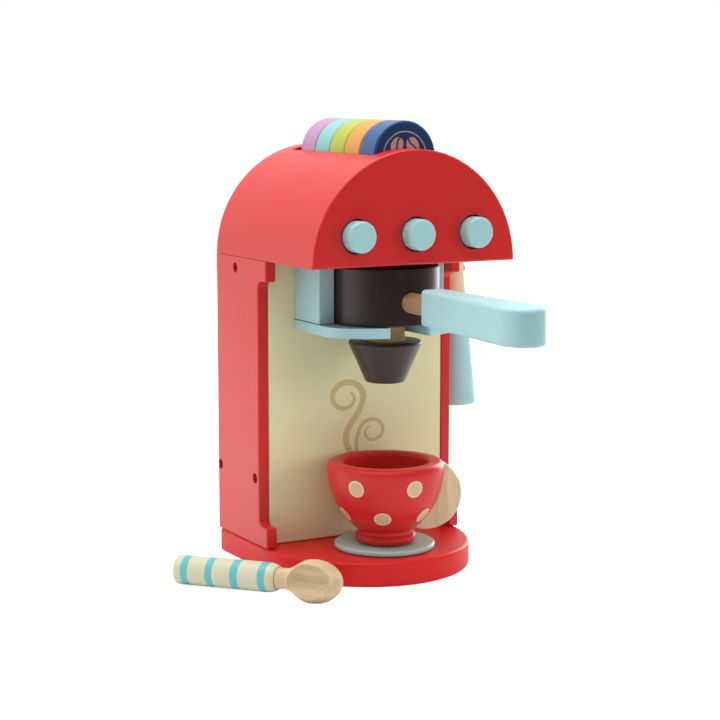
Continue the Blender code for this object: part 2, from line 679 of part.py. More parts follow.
def build_portafilter(cocoa, beech, sky):
    """Filter, neck, spout and handle, which slide out and turn together."""
    centre = pivot("filter_axis", (0, 0, 0), math.radians(HANDLE_TURN_DEG))
    body = rod(FILTER_RADIUS, FILTER_BOTTOM, FILTER_TOP, FINE_STEPS, FILTER_ROUNDING)
    filter_body = add_piece("filter_cylinder", body, cocoa, parent=centre)
    neck_low = SPOUT_TOP - NECK_TENON
    neck_high = FILTER_BOTTOM + NECK_TENON
    add_piece("neck_dowel", rod(NECK_RADIUS, neck_low, neck_high), beech, parent=centre)
    spout = add_piece("spout_cone", spout_mesh(), cocoa, parent=centre)
    bore = NECK_RADIUS + SEAT_GAP
    socket = rod(bore, FILTER_BOTTOM - CUT_OVERRUN, neck_high + SEAT_GAP)
    cut(filter_body, socket, "neck_socket_above", parent=centre)
    socket = rod(bore, neck_low - SEAT_GAP, SPOUT_TOP + CUT_OVERRUN)
    cut(spout, socket, "neck_socket_below", parent=centre)
    dowel_start = FILTER_RADIUS - HANDLE_DOWEL_SEAT
    dowel_end = HANDLE_START + HANDLE_DOWEL_TENON
    dowel = aim(rod(HANDLE_DOWEL_RADIUS, dowel_start, dowel_end, DOWEL_STEPS), (0, -1, 0))
    at = (0, 0, HANDLE_AXIS_Z)
    add_piece("handle_dowel", dowel, beech, at, centre)
    handle = add_piece("portafilter_handle", handle_mesh(), sky, at, centre)
    bore = HANDLE_DOWEL_RADIUS + SEAT_GAP
    inner = aim(rod(bore, dowel_start - SEAT_GAP, FILTER_RADIUS + CUT_OVERRUN), (0, -1, 0))
    cut(filter_body, inner, "dowel_socket_filter", centre, at)
    outer = aim(rod(bore, HANDLE_START - CUT_OVERRUN, dowel_end + SEAT_GAP), (0, -1, 0))
    cut(handle, outer, "dowel_socket_handle", centre, at)


def spout_mesh():
    """Return the turned cone that the coffee would leave by."""
    edge = SPOUT_ROUNDING
    lower = SPOUT_BOTTOM_RADIUS
    slope = (SPOUT_TOP_RADIUS - lower) / (SPOUT_TOP - SPOUT_BOTTOM)
    profile = [(0, SPOUT_BOTTOM), (lower - edge, SPOUT_BOTTOM)]
    profile += [(lower + slope * edge, SPOUT_BOTTOM + edge)]
    profile += [(SPOUT_TOP_RADIUS - slope * edge, SPOUT_TOP - edge)]
    profile += [(SPOUT_TOP_RADIUS - edge, SPOUT_TOP), (0, SPOUT_TOP)]
    return turned(profile, ROUND_STEPS)


def bell_arc(offset=0.0):
    """Return the cup's bell from waist to widest, drawn in by an offset."""
    widest = CUP_HEIGHT - CUP_LIP_ROUNDING
    swell = CUP_RADIUS - CUP_WAIST_RADIUS
    rise = widest - CUP_WAIST_HEIGHT
    reach = (swell**2 + rise**2) / (2 * swell)
    waist = math.degrees(math.asin(rise / reach))
    return arc((CUP_RADIUS - reach, widest), reach - offset, -waist, 0, CURVE_STEPS)


def cup_mesh():
    """Return the turned cup: foot, waist, bell, thick lip and round basin."""
    foot = CUP_FOOT_ROUNDING
    lip = CUP_LIP_ROUNDING
    inner = CUP_MOUTH_ROUNDING
    widest = CUP_HEIGHT - lip
    mouth_z = CUP_HEIGHT - inner
    profile = [(0, 0), (CUP_FOOT_RADIUS - foot, 0)]
    profile += arc((CUP_FOOT_RADIUS - foot, foot), foot, -45, 45, ARC_STEPS - 1)
    profile += bell_arc()
    profile += arc((CUP_RADIUS - lip, widest), lip, 0, 90)[1:]
    profile += arc((CUP_MOUTH_RADIUS + inner, mouth_z), inner, 90, 180)
    depth = mouth_z - CUP_FLOOR
    steps = CURVE_STEPS
    for step in range(1, steps + 1):
        angle = math.pi / 2 * step / steps
        profile.append((CUP_MOUTH_RADIUS * math.cos(angle), mouth_z - depth * math.sin(angle)))
    profile[-1] = (0, CUP_FLOOR)
    return turned(profile, ROUND_STEPS)


def cup_core(bed):
    """Return the solid that the ear's disc stops at, inside the cup's wall."""
    low = -CUP_FOOT_RADIUS
    high = 2 * CUP_HEIGHT
    bell = bell_arc(bed)
    profile = [(0, low), (bell[0][0], low)] + bell + [(CUP_RADIUS - bed, high), (0, high)]
    return turned(profile, ROUND_STEPS)


def ear_disc(grow, rounding=0.0):
    """Return the ear's disc, upright, with its faces along the cup's radius."""
    half = CUP_EAR_THICKNESS / 2 + grow
    return aim(rod(CUP_EAR_RADIUS + grow, -half, half, ROUND_STEPS, rounding), (0, 1, 0))


def build_cup(slate, red, beech):
    """Hotplate on the base, and the cup with its wooden ear."""
    plate = rod(HOTPLATE_RADIUS, 0, HOTPLATE_THICKNESS, FINE_STEPS, HOTPLATE_ROUNDING)
    add_piece("hotplate", plate, slate, (0, 0, BODY_FLOOR_Z))
    centre = pivot("cup_axis", (0, -CUP_FORWARD, CUP_BOTTOM), math.radians(CUP_EAR_TURN_DEG))
    bowl = add_piece("cup_bowl", cup_mesh(), red, parent=centre)
    at = (CUP_EAR_REACH, 0, CUP_EAR_HEIGHT)
    ear = add_piece("cup_ear", ear_disc(0, CUP_EAR_ROUNDING), beech, at, centre)
    cut(ear, cup_core(CUP_EAR_BED), "ear_bed", centre)
    slot = cut(bowl, ear_disc(SEAT_GAP), "ear_slot", centre, at)
    cut(slot, cup_core(CUP_EAR_BED + SEAT_GAP), "slot_floor", centre)


def build_wand(beech, right_panel):
    """Steam wand that swings on a shouldered pin in the right side panel."""
    centre = pivot("wand_axis", (WAND_OFFSET, WAND_Y, WAND_PIVOT_HEIGHT))
    low = -WAND_LENGTH
    high = WAND_HEAD
    edge = WAND_ROUNDING
    profile = [(0, low)] + arc((WAND_BOTTOM_RADIUS - edge, low + edge), edge, -90, 0)
    profile += [(WAND_PIVOT_RADIUS, 0)]
    profile += arc((WAND_TOP_RADIUS - edge, high - edge), edge, 0, 90) + [(0, high)]
    wand = add_piece("steam_wand", turned(profile), beech, parent=centre)
    bore = rod(PIN_RADIUS + SEAT_GAP, -WAND_BOTTOM_RADIUS, WAND_BOTTOM_RADIUS, PIN_STEPS)
    cut(wand, aim(bore, (1, 0, 0)), "wand_bore", centre)
    bed = rod(CAP_RADIUS + SEAT_GAP, CAP_BED, WAND_BOTTOM_RADIUS, PIN_STEPS)
    cut(wand, aim(bed, (1, 0, 0)), "cap_bed", centre)
    face = BODY_WIDTH / 2
    seat = face - PANEL_THICKNESS + PIN_SEAT_FLOOR
    shoulder = face + SEAT_GAP
    shoulder_end = WAND_OFFSET - WAND_PIVOT_RADIUS - WAND_SIDE_GAP
    cap = WAND_OFFSET + CAP_BED + SEAT_GAP
    pin = [
        (0, seat), (PIN_RADIUS, seat), (PIN_RADIUS, shoulder),
        (SHOULDER_RADIUS, shoulder), (SHOULDER_RADIUS, shoulder_end),
        (PIN_RADIUS, shoulder_end), (PIN_RADIUS, cap + CAP_SEAT), (0, cap + CAP_SEAT),
    ]
    at = (0, WAND_Y, WAND_PIVOT_HEIGHT)
    add_piece("wand_pin", aim(turned(pin, PIN_STEPS), (1, 0, 0)), beech, at)
    edge = CAP_ROUNDING
    end = cap + CAP_LENGTH
    button = [(0, cap), (CAP_RADIUS, cap)] + arc((CAP_RADIUS - edge, end - edge), edge, 0, 90)
    knob = add_piece("wand_cap", aim(turned(button + [(0, end)], PIN_STEPS), (1, 0, 0)), beech, at)
    bed = rod(PIN_RADIUS + SEAT_GAP, cap - CUT_OVERRUN, cap + CAP_SEAT + SEAT_GAP, PIN_STEPS)
    cut(knob, aim(bed, (1, 0, 0)), "cap_bore", at=at)
    bore = rod(PIN_RADIUS + SEAT_GAP, seat - SEAT_GAP, face + CUT_OVERRUN, PIN_STEPS)
    cut(right_panel, aim(bore, (1, 0, 0)), "pin_bore", at=at)


def spoon_bowl_profile():
    """Return the turned profile of the spoon's tenon, neck and egg."""
    start = SPOON_GRIP_LENGTH + SEAT_GAP
    neck_end = start + SPOON_NECK_LENGTH
    swell = SPOON_BOWL_PLACE - neck_end
    gain = SPOON_BOWL_RADIUS - SPOON_NECK_RADIUS
    tenon = start - SPOON_TENON_LENGTH
    profile = [(0, tenon), (SPOON_TENON_RADIUS, tenon), (SPOON_TENON_RADIUS, start)]
    profile += [(SPOON_NECK_RADIUS, start), (SPOON_NECK_RADIUS, neck_end)]
    steps = CURVE_STEPS
    for step in range(1, steps + 1):
        share = step / steps
        wave = (1 - math.cos(math.pi * share)) / 2
        rise = wave + share * (math.sin(math.pi / 2 * share) - wave)
        profile.append((SPOON_NECK_RADIUS + gain * rise, neck_end + swell * share))
    for step in range(1, steps + 1):
        angle = math.pi / 2 * step / steps
        radius = SPOON_BOWL_RADIUS * math.cos(angle)
        profile.append((radius, SPOON_BOWL_PLACE + SPOON_BOWL_NOSE * math.sin(angle)))
    profile[-1] = (0, SPOON_BOWL_PLACE + SPOON_BOWL_NOSE)
    return profile


def build_spoon(cream, beech):
    """Turned spoon: striped grip, and a bowl whose tenon is glued into it."""
    rest_height = SPOON_BOWL_RADIUS - SPOON_BOWL_FLAT
    tilt = math.asin((rest_height - SPOON_GRIP_RADIUS) / SPOON_BOWL_PLACE)
    spoon = pivot("spoon_rest", (SPOON_END_X, SPOON_END_Y, SPOON_GRIP_RADIUS))
    spoon.rotation_euler = (0, math.pi / 2 - tilt, math.radians(SPOON_TURN_DEG))
    radius = SPOON_GRIP_RADIUS
    profile = [(0, -SPOON_GRIP_DOME)]
    for step in range(1, ARC_STEPS + 1):
        angle = math.pi / 2 * step / ARC_STEPS
        profile.append((radius * math.sin(angle), -SPOON_GRIP_DOME * math.cos(angle)))
    end = SPOON_GRIP_LENGTH
    for step in range(ARC_STEPS + 1):
        angle = math.pi / 2 * step / ARC_STEPS
        drop = SPOON_SHOULDER_DROP * (1 - math.cos(angle))
        profile.append((radius - drop, end - SPOON_SHOULDER_LENGTH * (1 - math.sin(angle))))
    profile.append((0, end))
    grip = add_piece("spoon_grip", turned(profile), cream, parent=spoon)
    bottom = end - SPOON_TENON_LENGTH - SEAT_GAP
    cut(grip, rod(SPOON_TENON_RADIUS + SEAT_GAP, bottom, end + CUT_OVERRUN), "tenon_socket", spoon)
    bowl = add_piece("spoon_bowl", turned(spoon_bowl_profile()), beech, parent=spoon)
    cut(bowl, scoop_mesh(), "spoon_scoop", spoon)
    reach = SPOON_BOWL_NOSE + SPOON_BOWL_RADIUS
    turn = math.radians(SPOON_TURN_DEG)
    x = SPOON_END_X + SPOON_BOWL_PLACE * math.cos(turn)
    y = SPOON_END_Y + SPOON_BOWL_PLACE * math.sin(turn)
    pad = box((-reach, -reach, -reach), (reach, reach, 0))
    cut(bowl, pad, "spoon_flat", at=(x, y, 0))


def scoop_mesh():
    """Return the ellipsoid that hollows the spoon's bowl."""
    mesh = bmesh.new()
    bmesh.ops.create_uvsphere(mesh, u_segments=DOWEL_STEPS, v_segments=SCREW_STEPS, radius=1.0)
    size = (SPOON_SCOOP_DEPTH, SPOON_SCOOP_WIDTH / 2, SPOON_SCOOP_LENGTH / 2)
    bmesh.ops.scale(mesh, vec=size, verts=mesh.verts)
    bmesh.ops.translate(mesh, vec=(-SPOON_SCOOP_RIM, 0, SPOON_BOWL_PLACE), verts=mesh.verts)
    roll = Matrix.Rotation(math.radians(SPOON_SCOOP_ROLL_DEG), 3, "Z")
    bmesh.ops.rotate(mesh, verts=mesh.verts, cent=(0, 0, 0), matrix=roll)
    return mesh


def screw_mesh(length):
    """Return a wood screw along -Z: socketed head, shank and point."""
    head = SCREW_HEAD_RADIUS
    depth = SCREW_SOCKET_DEPTH
    shank = SCREW_SHANK_RADIUS
    profile = [
        (0, -length), (shank, -length + shank), (shank, -SCREW_HEAD_LENGTH),
        (head, -SCREW_HEAD_LENGTH), (head, 0), (SCREW_SOCKET_RADIUS, 0),
        (SCREW_SOCKET_RADIUS, -depth), (0, -depth),
    ]
    return turned(profile, SCREW_STEPS)


def drive_screw(name, steel, at, out, holder, thickness, target, bite=SCREW_BITE):
    """Sink a screw whose head faces `out` through a holder into its target."""
    out = Vector(out)
    length = thickness - SCREW_SINK + bite
    add_piece(name, aim(screw_mesh(length), out), steel, Vector(at) - out * SCREW_SINK)
    seat = SCREW_SINK + SCREW_HEAD_LENGTH + SEAT_GAP
    sink = aim(rod(SCREW_HEAD_RADIUS + SEAT_GAP, -seat, CUT_OVERRUN, SCREW_STEPS), out)
    cut(holder, sink, name + "_sink", at=at)
    reach = thickness + bite + SEAT_GAP
    hole = aim(rod(SCREW_SHANK_RADIUS + SEAT_GAP, -reach, CUT_OVERRUN, SCREW_STEPS), out)
    cut(holder, hole.copy(), name + "_hole", at=at)
    cut(target, hole, name + "_pilot", at=at)


def build_screws(steel, base, body, hood_floor, block):
    """Screws through the sides, the base, the top rail and the front wall."""
    top = (WALL_BACK_Y + BACK_PANEL_Y) / 2
    places = (
        ("top", top, BODY_HEIGHT - TOP_RAIL_THICKNESS / 2, body["top"]),
        ("back", BACK_Y - BACK_PANEL_THICKNESS / 2, BACK_SCREW_HEIGHT, body["back"]),
        ("front", WALL_FRONT_Y + FRONT_WALL_THICKNESS / 2, FRONT_SCREW_HEIGHT, body["wall"]),
    )
    for side, sign in (("left", -1), ("right", 1)):
        panel = body[side]
        for label, y, z, target in places:
            at = (sign * BODY_WIDTH / 2, y, z)
            name = "screw_{}_{}".format(label, side)
            drive_screw(name, steel, at, (sign, 0, 0), panel, PANEL_THICKNESS, target)
        at = (sign * BASE_SCREW_SPREAD, top, 0)
        drive_screw("screw_base_" + side, steel, at, (0, 0, -1), base, BASE_THICKNESS, body["bottom"])
        at = (sign * HOOD_SCREW_SPREAD, top, TOP_RAIL_Z)
        drive_screw(
            "screw_hood_" + side, steel, at, (0, 0, -1), body["top"], TOP_RAIL_THICKNESS,
            hood_floor, SCREW_FLOOR_BITE,
        )
        at = (sign * (BLOCK_HALF_WIDTH - BLOCK_SCREW_INSET), WALL_BACK_Y, FILTER_BOTTOM + BLOCK_SCREW_RISE)
        drive_screw(
            "screw_block_" + side, steel, at, (0, 1, 0), body["wall"], FRONT_WALL_THICKNESS, block,
        )


def main():
    """Build the whole toy."""
    clear_scene()
    red = finish("red_paint", RED, 0.35)
    cream = finish("cream_paint", CREAM, 0.5)
    sky = finish("sky_paint", SKY, 0.4)
    cocoa = finish("cocoa_paint", COCOA, 0.45)
    beech = finish("beech", BEECH, 0.6)
    steel = finish("steel", STEEL, 0.3, 1.0)
    base = build_base(red)
    body = build_body(red, cream, beech)
    hood = build_hood(red, beech)
    build_pods()
    build_buttons(sky, steel, beech, hood["front"])
    block = build_group_head(sky)
    build_portafilter(cocoa, beech, sky)
    build_cup(finish("slate_paint", SLATE, 0.4), red, beech)
    build_wand(beech, body["right"])
    build_spoon(cream, beech)
    build_screws(steel, base, body, hood["floor"], block)
    bpy.context.view_layer.update()


main()
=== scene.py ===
"""Wooden toy coffee maker, dressed for its studio picture.

Meshes are drawn in millimetres in the row frame and become metres when a piece
is finished.  Each class holds the sizes of one sub-assembly and builds it.
"""

import logging
import math
from collections.abc import Callable, Iterable, Mapping, Sequence
from dataclasses import dataclass, field
from enum import Enum

import bmesh
import bpy
from mathutils import Matrix, Vector

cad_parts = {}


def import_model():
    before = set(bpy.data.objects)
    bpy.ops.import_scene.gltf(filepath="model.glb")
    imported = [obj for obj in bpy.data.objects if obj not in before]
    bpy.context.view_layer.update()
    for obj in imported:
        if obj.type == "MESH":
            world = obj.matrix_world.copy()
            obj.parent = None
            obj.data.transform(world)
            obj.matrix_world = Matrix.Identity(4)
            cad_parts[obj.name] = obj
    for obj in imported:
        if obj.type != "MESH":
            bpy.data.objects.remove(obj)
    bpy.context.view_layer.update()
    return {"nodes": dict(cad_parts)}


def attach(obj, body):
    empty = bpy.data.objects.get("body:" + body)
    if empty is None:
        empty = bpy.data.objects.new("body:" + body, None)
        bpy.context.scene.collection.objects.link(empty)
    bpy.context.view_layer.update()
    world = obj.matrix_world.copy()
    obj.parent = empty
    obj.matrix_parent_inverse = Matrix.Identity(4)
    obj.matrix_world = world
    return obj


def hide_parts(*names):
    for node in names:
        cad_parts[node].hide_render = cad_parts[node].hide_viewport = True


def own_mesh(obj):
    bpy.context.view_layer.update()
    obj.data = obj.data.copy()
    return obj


LOG = logging.getLogger("toy_coffee_maker")
MM = 0.001

Point = tuple[float, float]
Triple = tuple[float, float, float]
Mesh = bmesh.types.BMesh
Edge = bmesh.types.BMEdge
Socket = bpy.types.NodeSocket

TURN_STEPS = 128
ARC_STEPS = 10
EDGE_STEPS = 5
SMOOTH_ANGLE = math.radians(32)
HARD_ANGLE = math.radians(35)
WELD = 0.0005
OVERRUN = 2.0
SIDES = (("left", -1), ("right", 1))


# Mesh tools


def arc(centre: Point, radius: float, start: float, end: float, steps: int = ARC_STEPS) -> list[Point]:
    """Points of a circular arc.

    Args:
        centre: Centre of the circle.
        radius: Radius of the circle.
        start: First angle in degrees.
        end: Last angle in degrees.
        steps: Number of chords.

    Returns:
        The points from the first angle to the last.
    """
    points = []
    for step in range(steps + 1):
        angle = math.radians(start + (end - start) * step / steps)
        points.append((centre[0] + radius * math.cos(angle), centre[1] + radius * math.sin(angle)))
    return points


def turned(profile: Sequence[Point], steps: int = TURN_STEPS) -> Mesh:
    """Turn a profile round the Z axis, as on a lathe.

    Args:
        profile: Pairs of radius and height, from one pole to the other.
        steps: Number of steps in the full turn.

    Returns:
        The closed solid.
    """
    mesh = bmesh.new()
    verts = [mesh.verts.new((radius, 0.0, height)) for radius, height in profile]
    edges = [mesh.edges.new(pair) for pair in zip(verts, verts[1:])]
    bmesh.ops.spin(
        mesh, geom=verts + edges, cent=(0, 0, 0), axis=(0, 0, 1),
        angle=math.tau, steps=steps, use_merge=True,
    )
    bmesh.ops.remove_doubles(mesh, verts=mesh.verts, dist=WELD)
    bmesh.ops.recalc_face_normals(mesh, faces=mesh.faces)
    return mesh


def board(outline: Sequence[Point], axis: str, low: float, high: float) -> Mesh:
    """Saw a board from an outline.

    Args:
        outline: The corners in the plane across the axis.
        axis: X, Y or Z, the way the thickness runs.
        low: Where the board starts along the axis.
        high: Where it ends.

    Returns:
        The closed solid.
    """
    mesh = bmesh.new()
    along = "XYZ".index(axis)
    first, second = [index for index in range(3) if index != along]
    place = Vector((0, 0, 0))
    place[along] = low
    verts = []
    for point in outline:
        place[first], place[second] = point
        verts.append(mesh.verts.new(place))
    travel = Vector((0, 0, 0))
    travel[along] = high - low
    grown = bmesh.ops.extrude_face_region(mesh, geom=[mesh.faces.new(verts)])
    moved = [item for item in grown["geom"] if isinstance(item, bmesh.types.BMVert)]
    bmesh.ops.translate(mesh, verts=moved, vec=travel)
    bmesh.ops.recalc_face_normals(mesh, faces=mesh.faces)
    return mesh


def block(low: Triple, high: Triple) -> Mesh:
    """A rectangular block between two corners."""
    outline = [(low[0], low[1]), (high[0], low[1]), (high[0], high[1]), (low[0], high[1])]
    return board(outline, "Z", low[2], high[2])


def peg(radius: float, low: float, high: float, rounding: float = 0.0) -> Mesh:
    """Turn an upright round bar.

    Args:
        radius: Radius of the bar.
        low: Height of its lower end.
        high: Height of its upper end.
        rounding: Radius of its two rims, or nothing for sharp rims.

    Returns:
        The closed solid.
    """
    if not rounding:
        return turned([(0, low), (radius, low), (radius, high), (0, high)])
    profile = [(0.0, low)]
    profile += arc((radius - rounding, low + rounding), rounding, -90, 0, EDGE_STEPS)
    profile += arc((radius - rounding, high - rounding), rounding, 0, 90, EDGE_STEPS)
    return turned(profile + [(0.0, high)])


def soften(
    mesh: Mesh,
    width: float,
    segments: int = EDGE_STEPS,
    wanted: Callable[[Edge], bool] | None = None,
) -> Mesh:
    """Round the hard edges of a mesh.

    Args:
        mesh: The mesh, changed in place.
        width: Radius of the rounding.
        segments: Facets across it.
        wanted: Tells whether a hard edge takes part, or nothing for all.

    Returns:
        The same mesh.
    """
    hard = [
        edge
        for edge in mesh.edges
        if edge.calc_face_angle(0.0) > HARD_ANGLE and (wanted is None or wanted(edge))
    ]
    bmesh.ops.bevel(
        mesh, geom=hard, offset=width, segments=segments, profile=0.5,
        affect="EDGES", material=-1, clamp_overlap=True,
    )
    return mesh


def is_level(edge: Edge) -> bool:
    """Whether both ends of an edge are at one height."""
    return abs(edge.verts[0].co.z - edge.verts[1].co.z) < WELD


def aimed(mesh: Mesh, direction: Triple, place: Triple = (0, 0, 0)) -> Mesh:
    """Point a mesh drawn along +Z another way and set it down.

    Args:
        mesh: The mesh, changed in place.
        direction: Where its +Z goes.
        place: Where its origin goes.

    Returns:
        The same mesh.
    """
    turn = Vector((0, 0, 1)).rotation_difference(Vector(direction)).to_matrix().to_4x4()
    mesh.transform(Matrix.Translation(place) @ turn)
    return mesh


def carved(mesh: Mesh, cutters: Iterable[Mesh]) -> Mesh:
    """Take the shapes of some cutters out of a mesh.

    Args:
        mesh: The solid; it is used up.
        cutters: The solids to take away; they are used up too.

    Returns:
        What is left.
    """
    made = [_loose_object("carving", mesh)]
    for cutter in cutters:
        tool = _loose_object("cutter", cutter)
        made.append(tool)
        modifier = made[0].modifiers.new("cut", "BOOLEAN")
        modifier.operation = "DIFFERENCE"
        modifier.solver = "EXACT"
        modifier.object = tool
    bpy.context.view_layer.update()
    graph = bpy.context.evaluated_depsgraph_get()
    left = bmesh.new()
    data = bpy.data.meshes.new_from_object(made[0].evaluated_get(graph))
    left.from_mesh(data)
    bpy.data.meshes.remove(data)
    for obj in made:
        bpy.data.meshes.remove(obj.data, do_unlink=True)
    bmesh.ops.remove_doubles(left, verts=left.verts, dist=WELD)
    return left


def _loose_object(name: str, mesh: Mesh) -> bpy.types.Object:
    """Put a bmesh in the scene for a moment and free it."""
    data = bpy.data.meshes.new(name)
    mesh.to_mesh(data)
    mesh.free()
    obj = bpy.data.objects.new(name, data)
    bpy.context.scene.collection.objects.link(obj)
    return obj


@dataclass(frozen=True)
class Ticket:
    """What a piece is called, what it moves with and which solids it stands for."""

    name: str
    body: str
    stands_for: tuple[str, ...]
    slot: str


def finish_piece(mesh: Mesh, ticket: Ticket, material: bpy.types.Material) -> bpy.types.Object:
    """Make the object of one piece from its mesh in millimetres.

    Args:
        mesh: The finished shape; it is used up.
        ticket: The piece's name, body, slot and solids.
        material: Its finish.

    Returns:
        The object, at the origin, riding on its body.
    """
    bmesh.ops.scale(mesh, vec=(MM, MM, MM), verts=mesh.verts)
    data = bpy.data.meshes.new(ticket.name)
    mesh.to_mesh(data)
    mesh.free()
    data.shade_smooth()
    data.set_sharp_from_angle(angle=SMOOTH_ANGLE)
    data.materials.append(material)
    obj = bpy.data.objects.new(ticket.name, data)
    bpy.context.scene.collection.objects.link(obj)
    shading = obj.modifiers.new("even_shading", "WEIGHTED_NORMAL")
    shading.keep_sharp = True
    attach(obj, ticket.body)
    if ticket.stands_for:
        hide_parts(*ticket.stands_for)
    LOG.info("%s: %d faces on %s", ticket.name, len(data.polygons), ticket.body)
    return obj


# Finishes


class Graph:
    """A shader tree whose nodes are added and linked in one call each."""

    def __init__(self, tree: bpy.types.NodeTree) -> None:
        """Start with a tree that may hold nodes already."""
        self.tree = tree

    def node(self, kind: str, inputs: Mapping | None = None, **settings: object) -> bpy.types.Node:
        """Add a node.

        Args:
            kind: The node's type.
            inputs: Values or sockets for its inputs, by name or number.
            **settings: Its other properties.

        Returns:
            The new node.
        """
        made = self.tree.nodes.new(kind)
        for key, value in settings.items():
            setattr(made, key, value)
        self.feed(made, inputs or {})
        return made

    def feed(self, node: bpy.types.Node, inputs: Mapping) -> None:
        """Link or set some inputs of a node.

        Args:
            node: The node.
            inputs: Values or sockets for its inputs, by name or number.
        """
        for key, value in inputs.items():
            if isinstance(value, Socket):
                self.tree.links.new(value, node.inputs[key])
            else:
                node.inputs[key].default_value = value

    def math(self, operation: str, *operands: Socket | float) -> Socket:
        """Combine numbers and return the result's socket."""
        return self.node("ShaderNodeMath", dict(enumerate(operands)), operation=operation).outputs[0]

    def vector(self, operation: str, *operands: Socket | Triple, output: str = "Vector") -> Socket:
        """Combine vectors and return the result's socket."""
        node = self.node("ShaderNodeVectorMath", dict(enumerate(operands)), operation=operation)
        return node.outputs[output]

    def scaled(self, vector: Socket, factor: Socket | float) -> Socket:
        """Multiply a vector or colour by a number."""
        inputs = {0: vector, "Scale": factor}
        return self.node("ShaderNodeVectorMath", inputs, operation="SCALE").outputs["Vector"]

    def noise(self, vector: Socket, scale: float, detail: float = 2.0) -> Socket:
        """Add a noise texture and return its value."""
        inputs = {"Vector": vector, "Scale": scale, "Detail": detail}
        return self.node("ShaderNodeTexNoise", inputs).outputs["Fac"]

    def step(self, value: Socket, low: Socket | float, high: Socket | float) -> Socket:
        """Ease from 0 at the low value to 1 at the high one."""
        inputs = {"Value": value, "From Min": low, "From Max": high}
        node = self.node("ShaderNodeMapRange", inputs, interpolation_type="SMOOTHSTEP")
        return node.outputs["Result"]

    def mix(self, factor: Socket | float, first: Socket | tuple, second: Socket | tuple) -> Socket:
        """Blend two colours."""
        node = self.node("ShaderNodeMix", {0: factor, 6: first, 7: second}, data_type="RGBA")
        return node.outputs[2]


def opaque(colour: Triple) -> tuple[float, float, float, float]:
    """Add full alpha to a colour."""
    return (*colour, 1.0)


class Pattern(Enum):
    """The node groups that several finishes share."""

    FILM = "paint_film"
    FIGURE = "wood_figure"
    SPOTS = "spot_row"
    BEAN = "bean_print"
    BAND = "band_across"


def _open_group(
    pattern: Pattern, inputs: Mapping[str, str], outputs: Mapping[str, str]
) -> tuple[Graph, dict[str, Socket], bpy.types.Node]:
    """Start a node group.

    Args:
        pattern: Which group it is.
        inputs: Input names and their socket kinds.
        outputs: Output names and their socket kinds.

    Returns:
        The graph, its input sockets by name, and its output node.
    """
    tree = bpy.data.node_groups.new(pattern.value, "ShaderNodeTree")
    for way, sockets in (("INPUT", inputs), ("OUTPUT", outputs)):
        for name, kind in sockets.items():
            tree.interface.new_socket(name, in_out=way, socket_type="NodeSocket" + kind)
    graph = Graph(tree)
    entry = graph.node("NodeGroupInput")
    return graph, {name: entry.outputs[name] for name in inputs}, graph.node("NodeGroupOutput")


# Softness of a printed edge and depth of the relief, both in metres
SOFT_EDGE = 0.0003
RELIEF_DEPTH = 0.0003

# Paint: scales of its mottling and orange peel, and what each does to the surface
MOTTLE_SCALE = 28.0
PEEL_SCALE = 900.0
FIBRE_TONE = 0.6
MOTTLE_ROUGHNESS = 0.12
FIBRE_ROUGHNESS = 0.08
FIBRE_HEIGHT = 0.7
PEEL_HEIGHT = 0.3

# Beech: scales of its growth, fibres and flecks, and what each does to the surface
GROWTH_SCALE = 0.22
WOOD_FIBRE_SCALE = 1.6
FLECK_SCALE = 2.4
FLECK_RANGE = (0.62, 0.74)
WOOD_FIBRE_TONE = 0.55
GROWTH_TONE = 0.85
TONE_RANGE = (0.42, 1.02)
FLECK_TONE = 0.35
WOOD_ROUGHNESS = 0.16
FLECK_DEPTH = 0.5

# Printed bean: where its oval ends and how its crease bends, as shares of its half sizes
BEAN_RANGE = (0.94, 1.06)
CREASE_TURN = 2.6
CREASE_SWING = 0.22
CREASE_RANGE = (0.10, 0.20)


def _film_group() -> bpy.types.NodeTree:
    """Brushed paint on wood: slight mottling, faint fibres and orange peel."""
    graph, given, end = _open_group(
        Pattern.FILM,
        {"Vector": "Vector", "Colour": "Color", "Fibre": "Vector", "Swing": "Float", "Sheen": "Float"},
        {"Colour": "Color", "Roughness": "Float", "Height": "Float"},
    )
    mottle = graph.math("SUBTRACT", graph.noise(given["Vector"], MOTTLE_SCALE, 3.0), 0.5)
    fibre = graph.noise(graph.vector("MULTIPLY", given["Vector"], given["Fibre"]), 1.0, 3.0)
    peel = graph.noise(given["Vector"], PEEL_SCALE, 1.0)
    centred = graph.math("SUBTRACT", fibre, 0.5)
    tone = graph.math("MULTIPLY_ADD", centred, FIBRE_TONE, mottle)
    tone = graph.math("MULTIPLY_ADD", tone, given["Swing"], 1.0)
    colour = graph.scaled(given["Colour"], tone)
    rough = graph.math("MULTIPLY_ADD", mottle, MOTTLE_ROUGHNESS, given["Sheen"])
    rough = graph.math("MULTIPLY_ADD", centred, FIBRE_ROUGHNESS, rough)
    height = graph.math("MULTIPLY_ADD", fibre, FIBRE_HEIGHT, graph.math("MULTIPLY", peel, PEEL_HEIGHT))
    graph.feed(end, {"Colour": colour, "Roughness": rough, "Height": height})
    return graph.tree


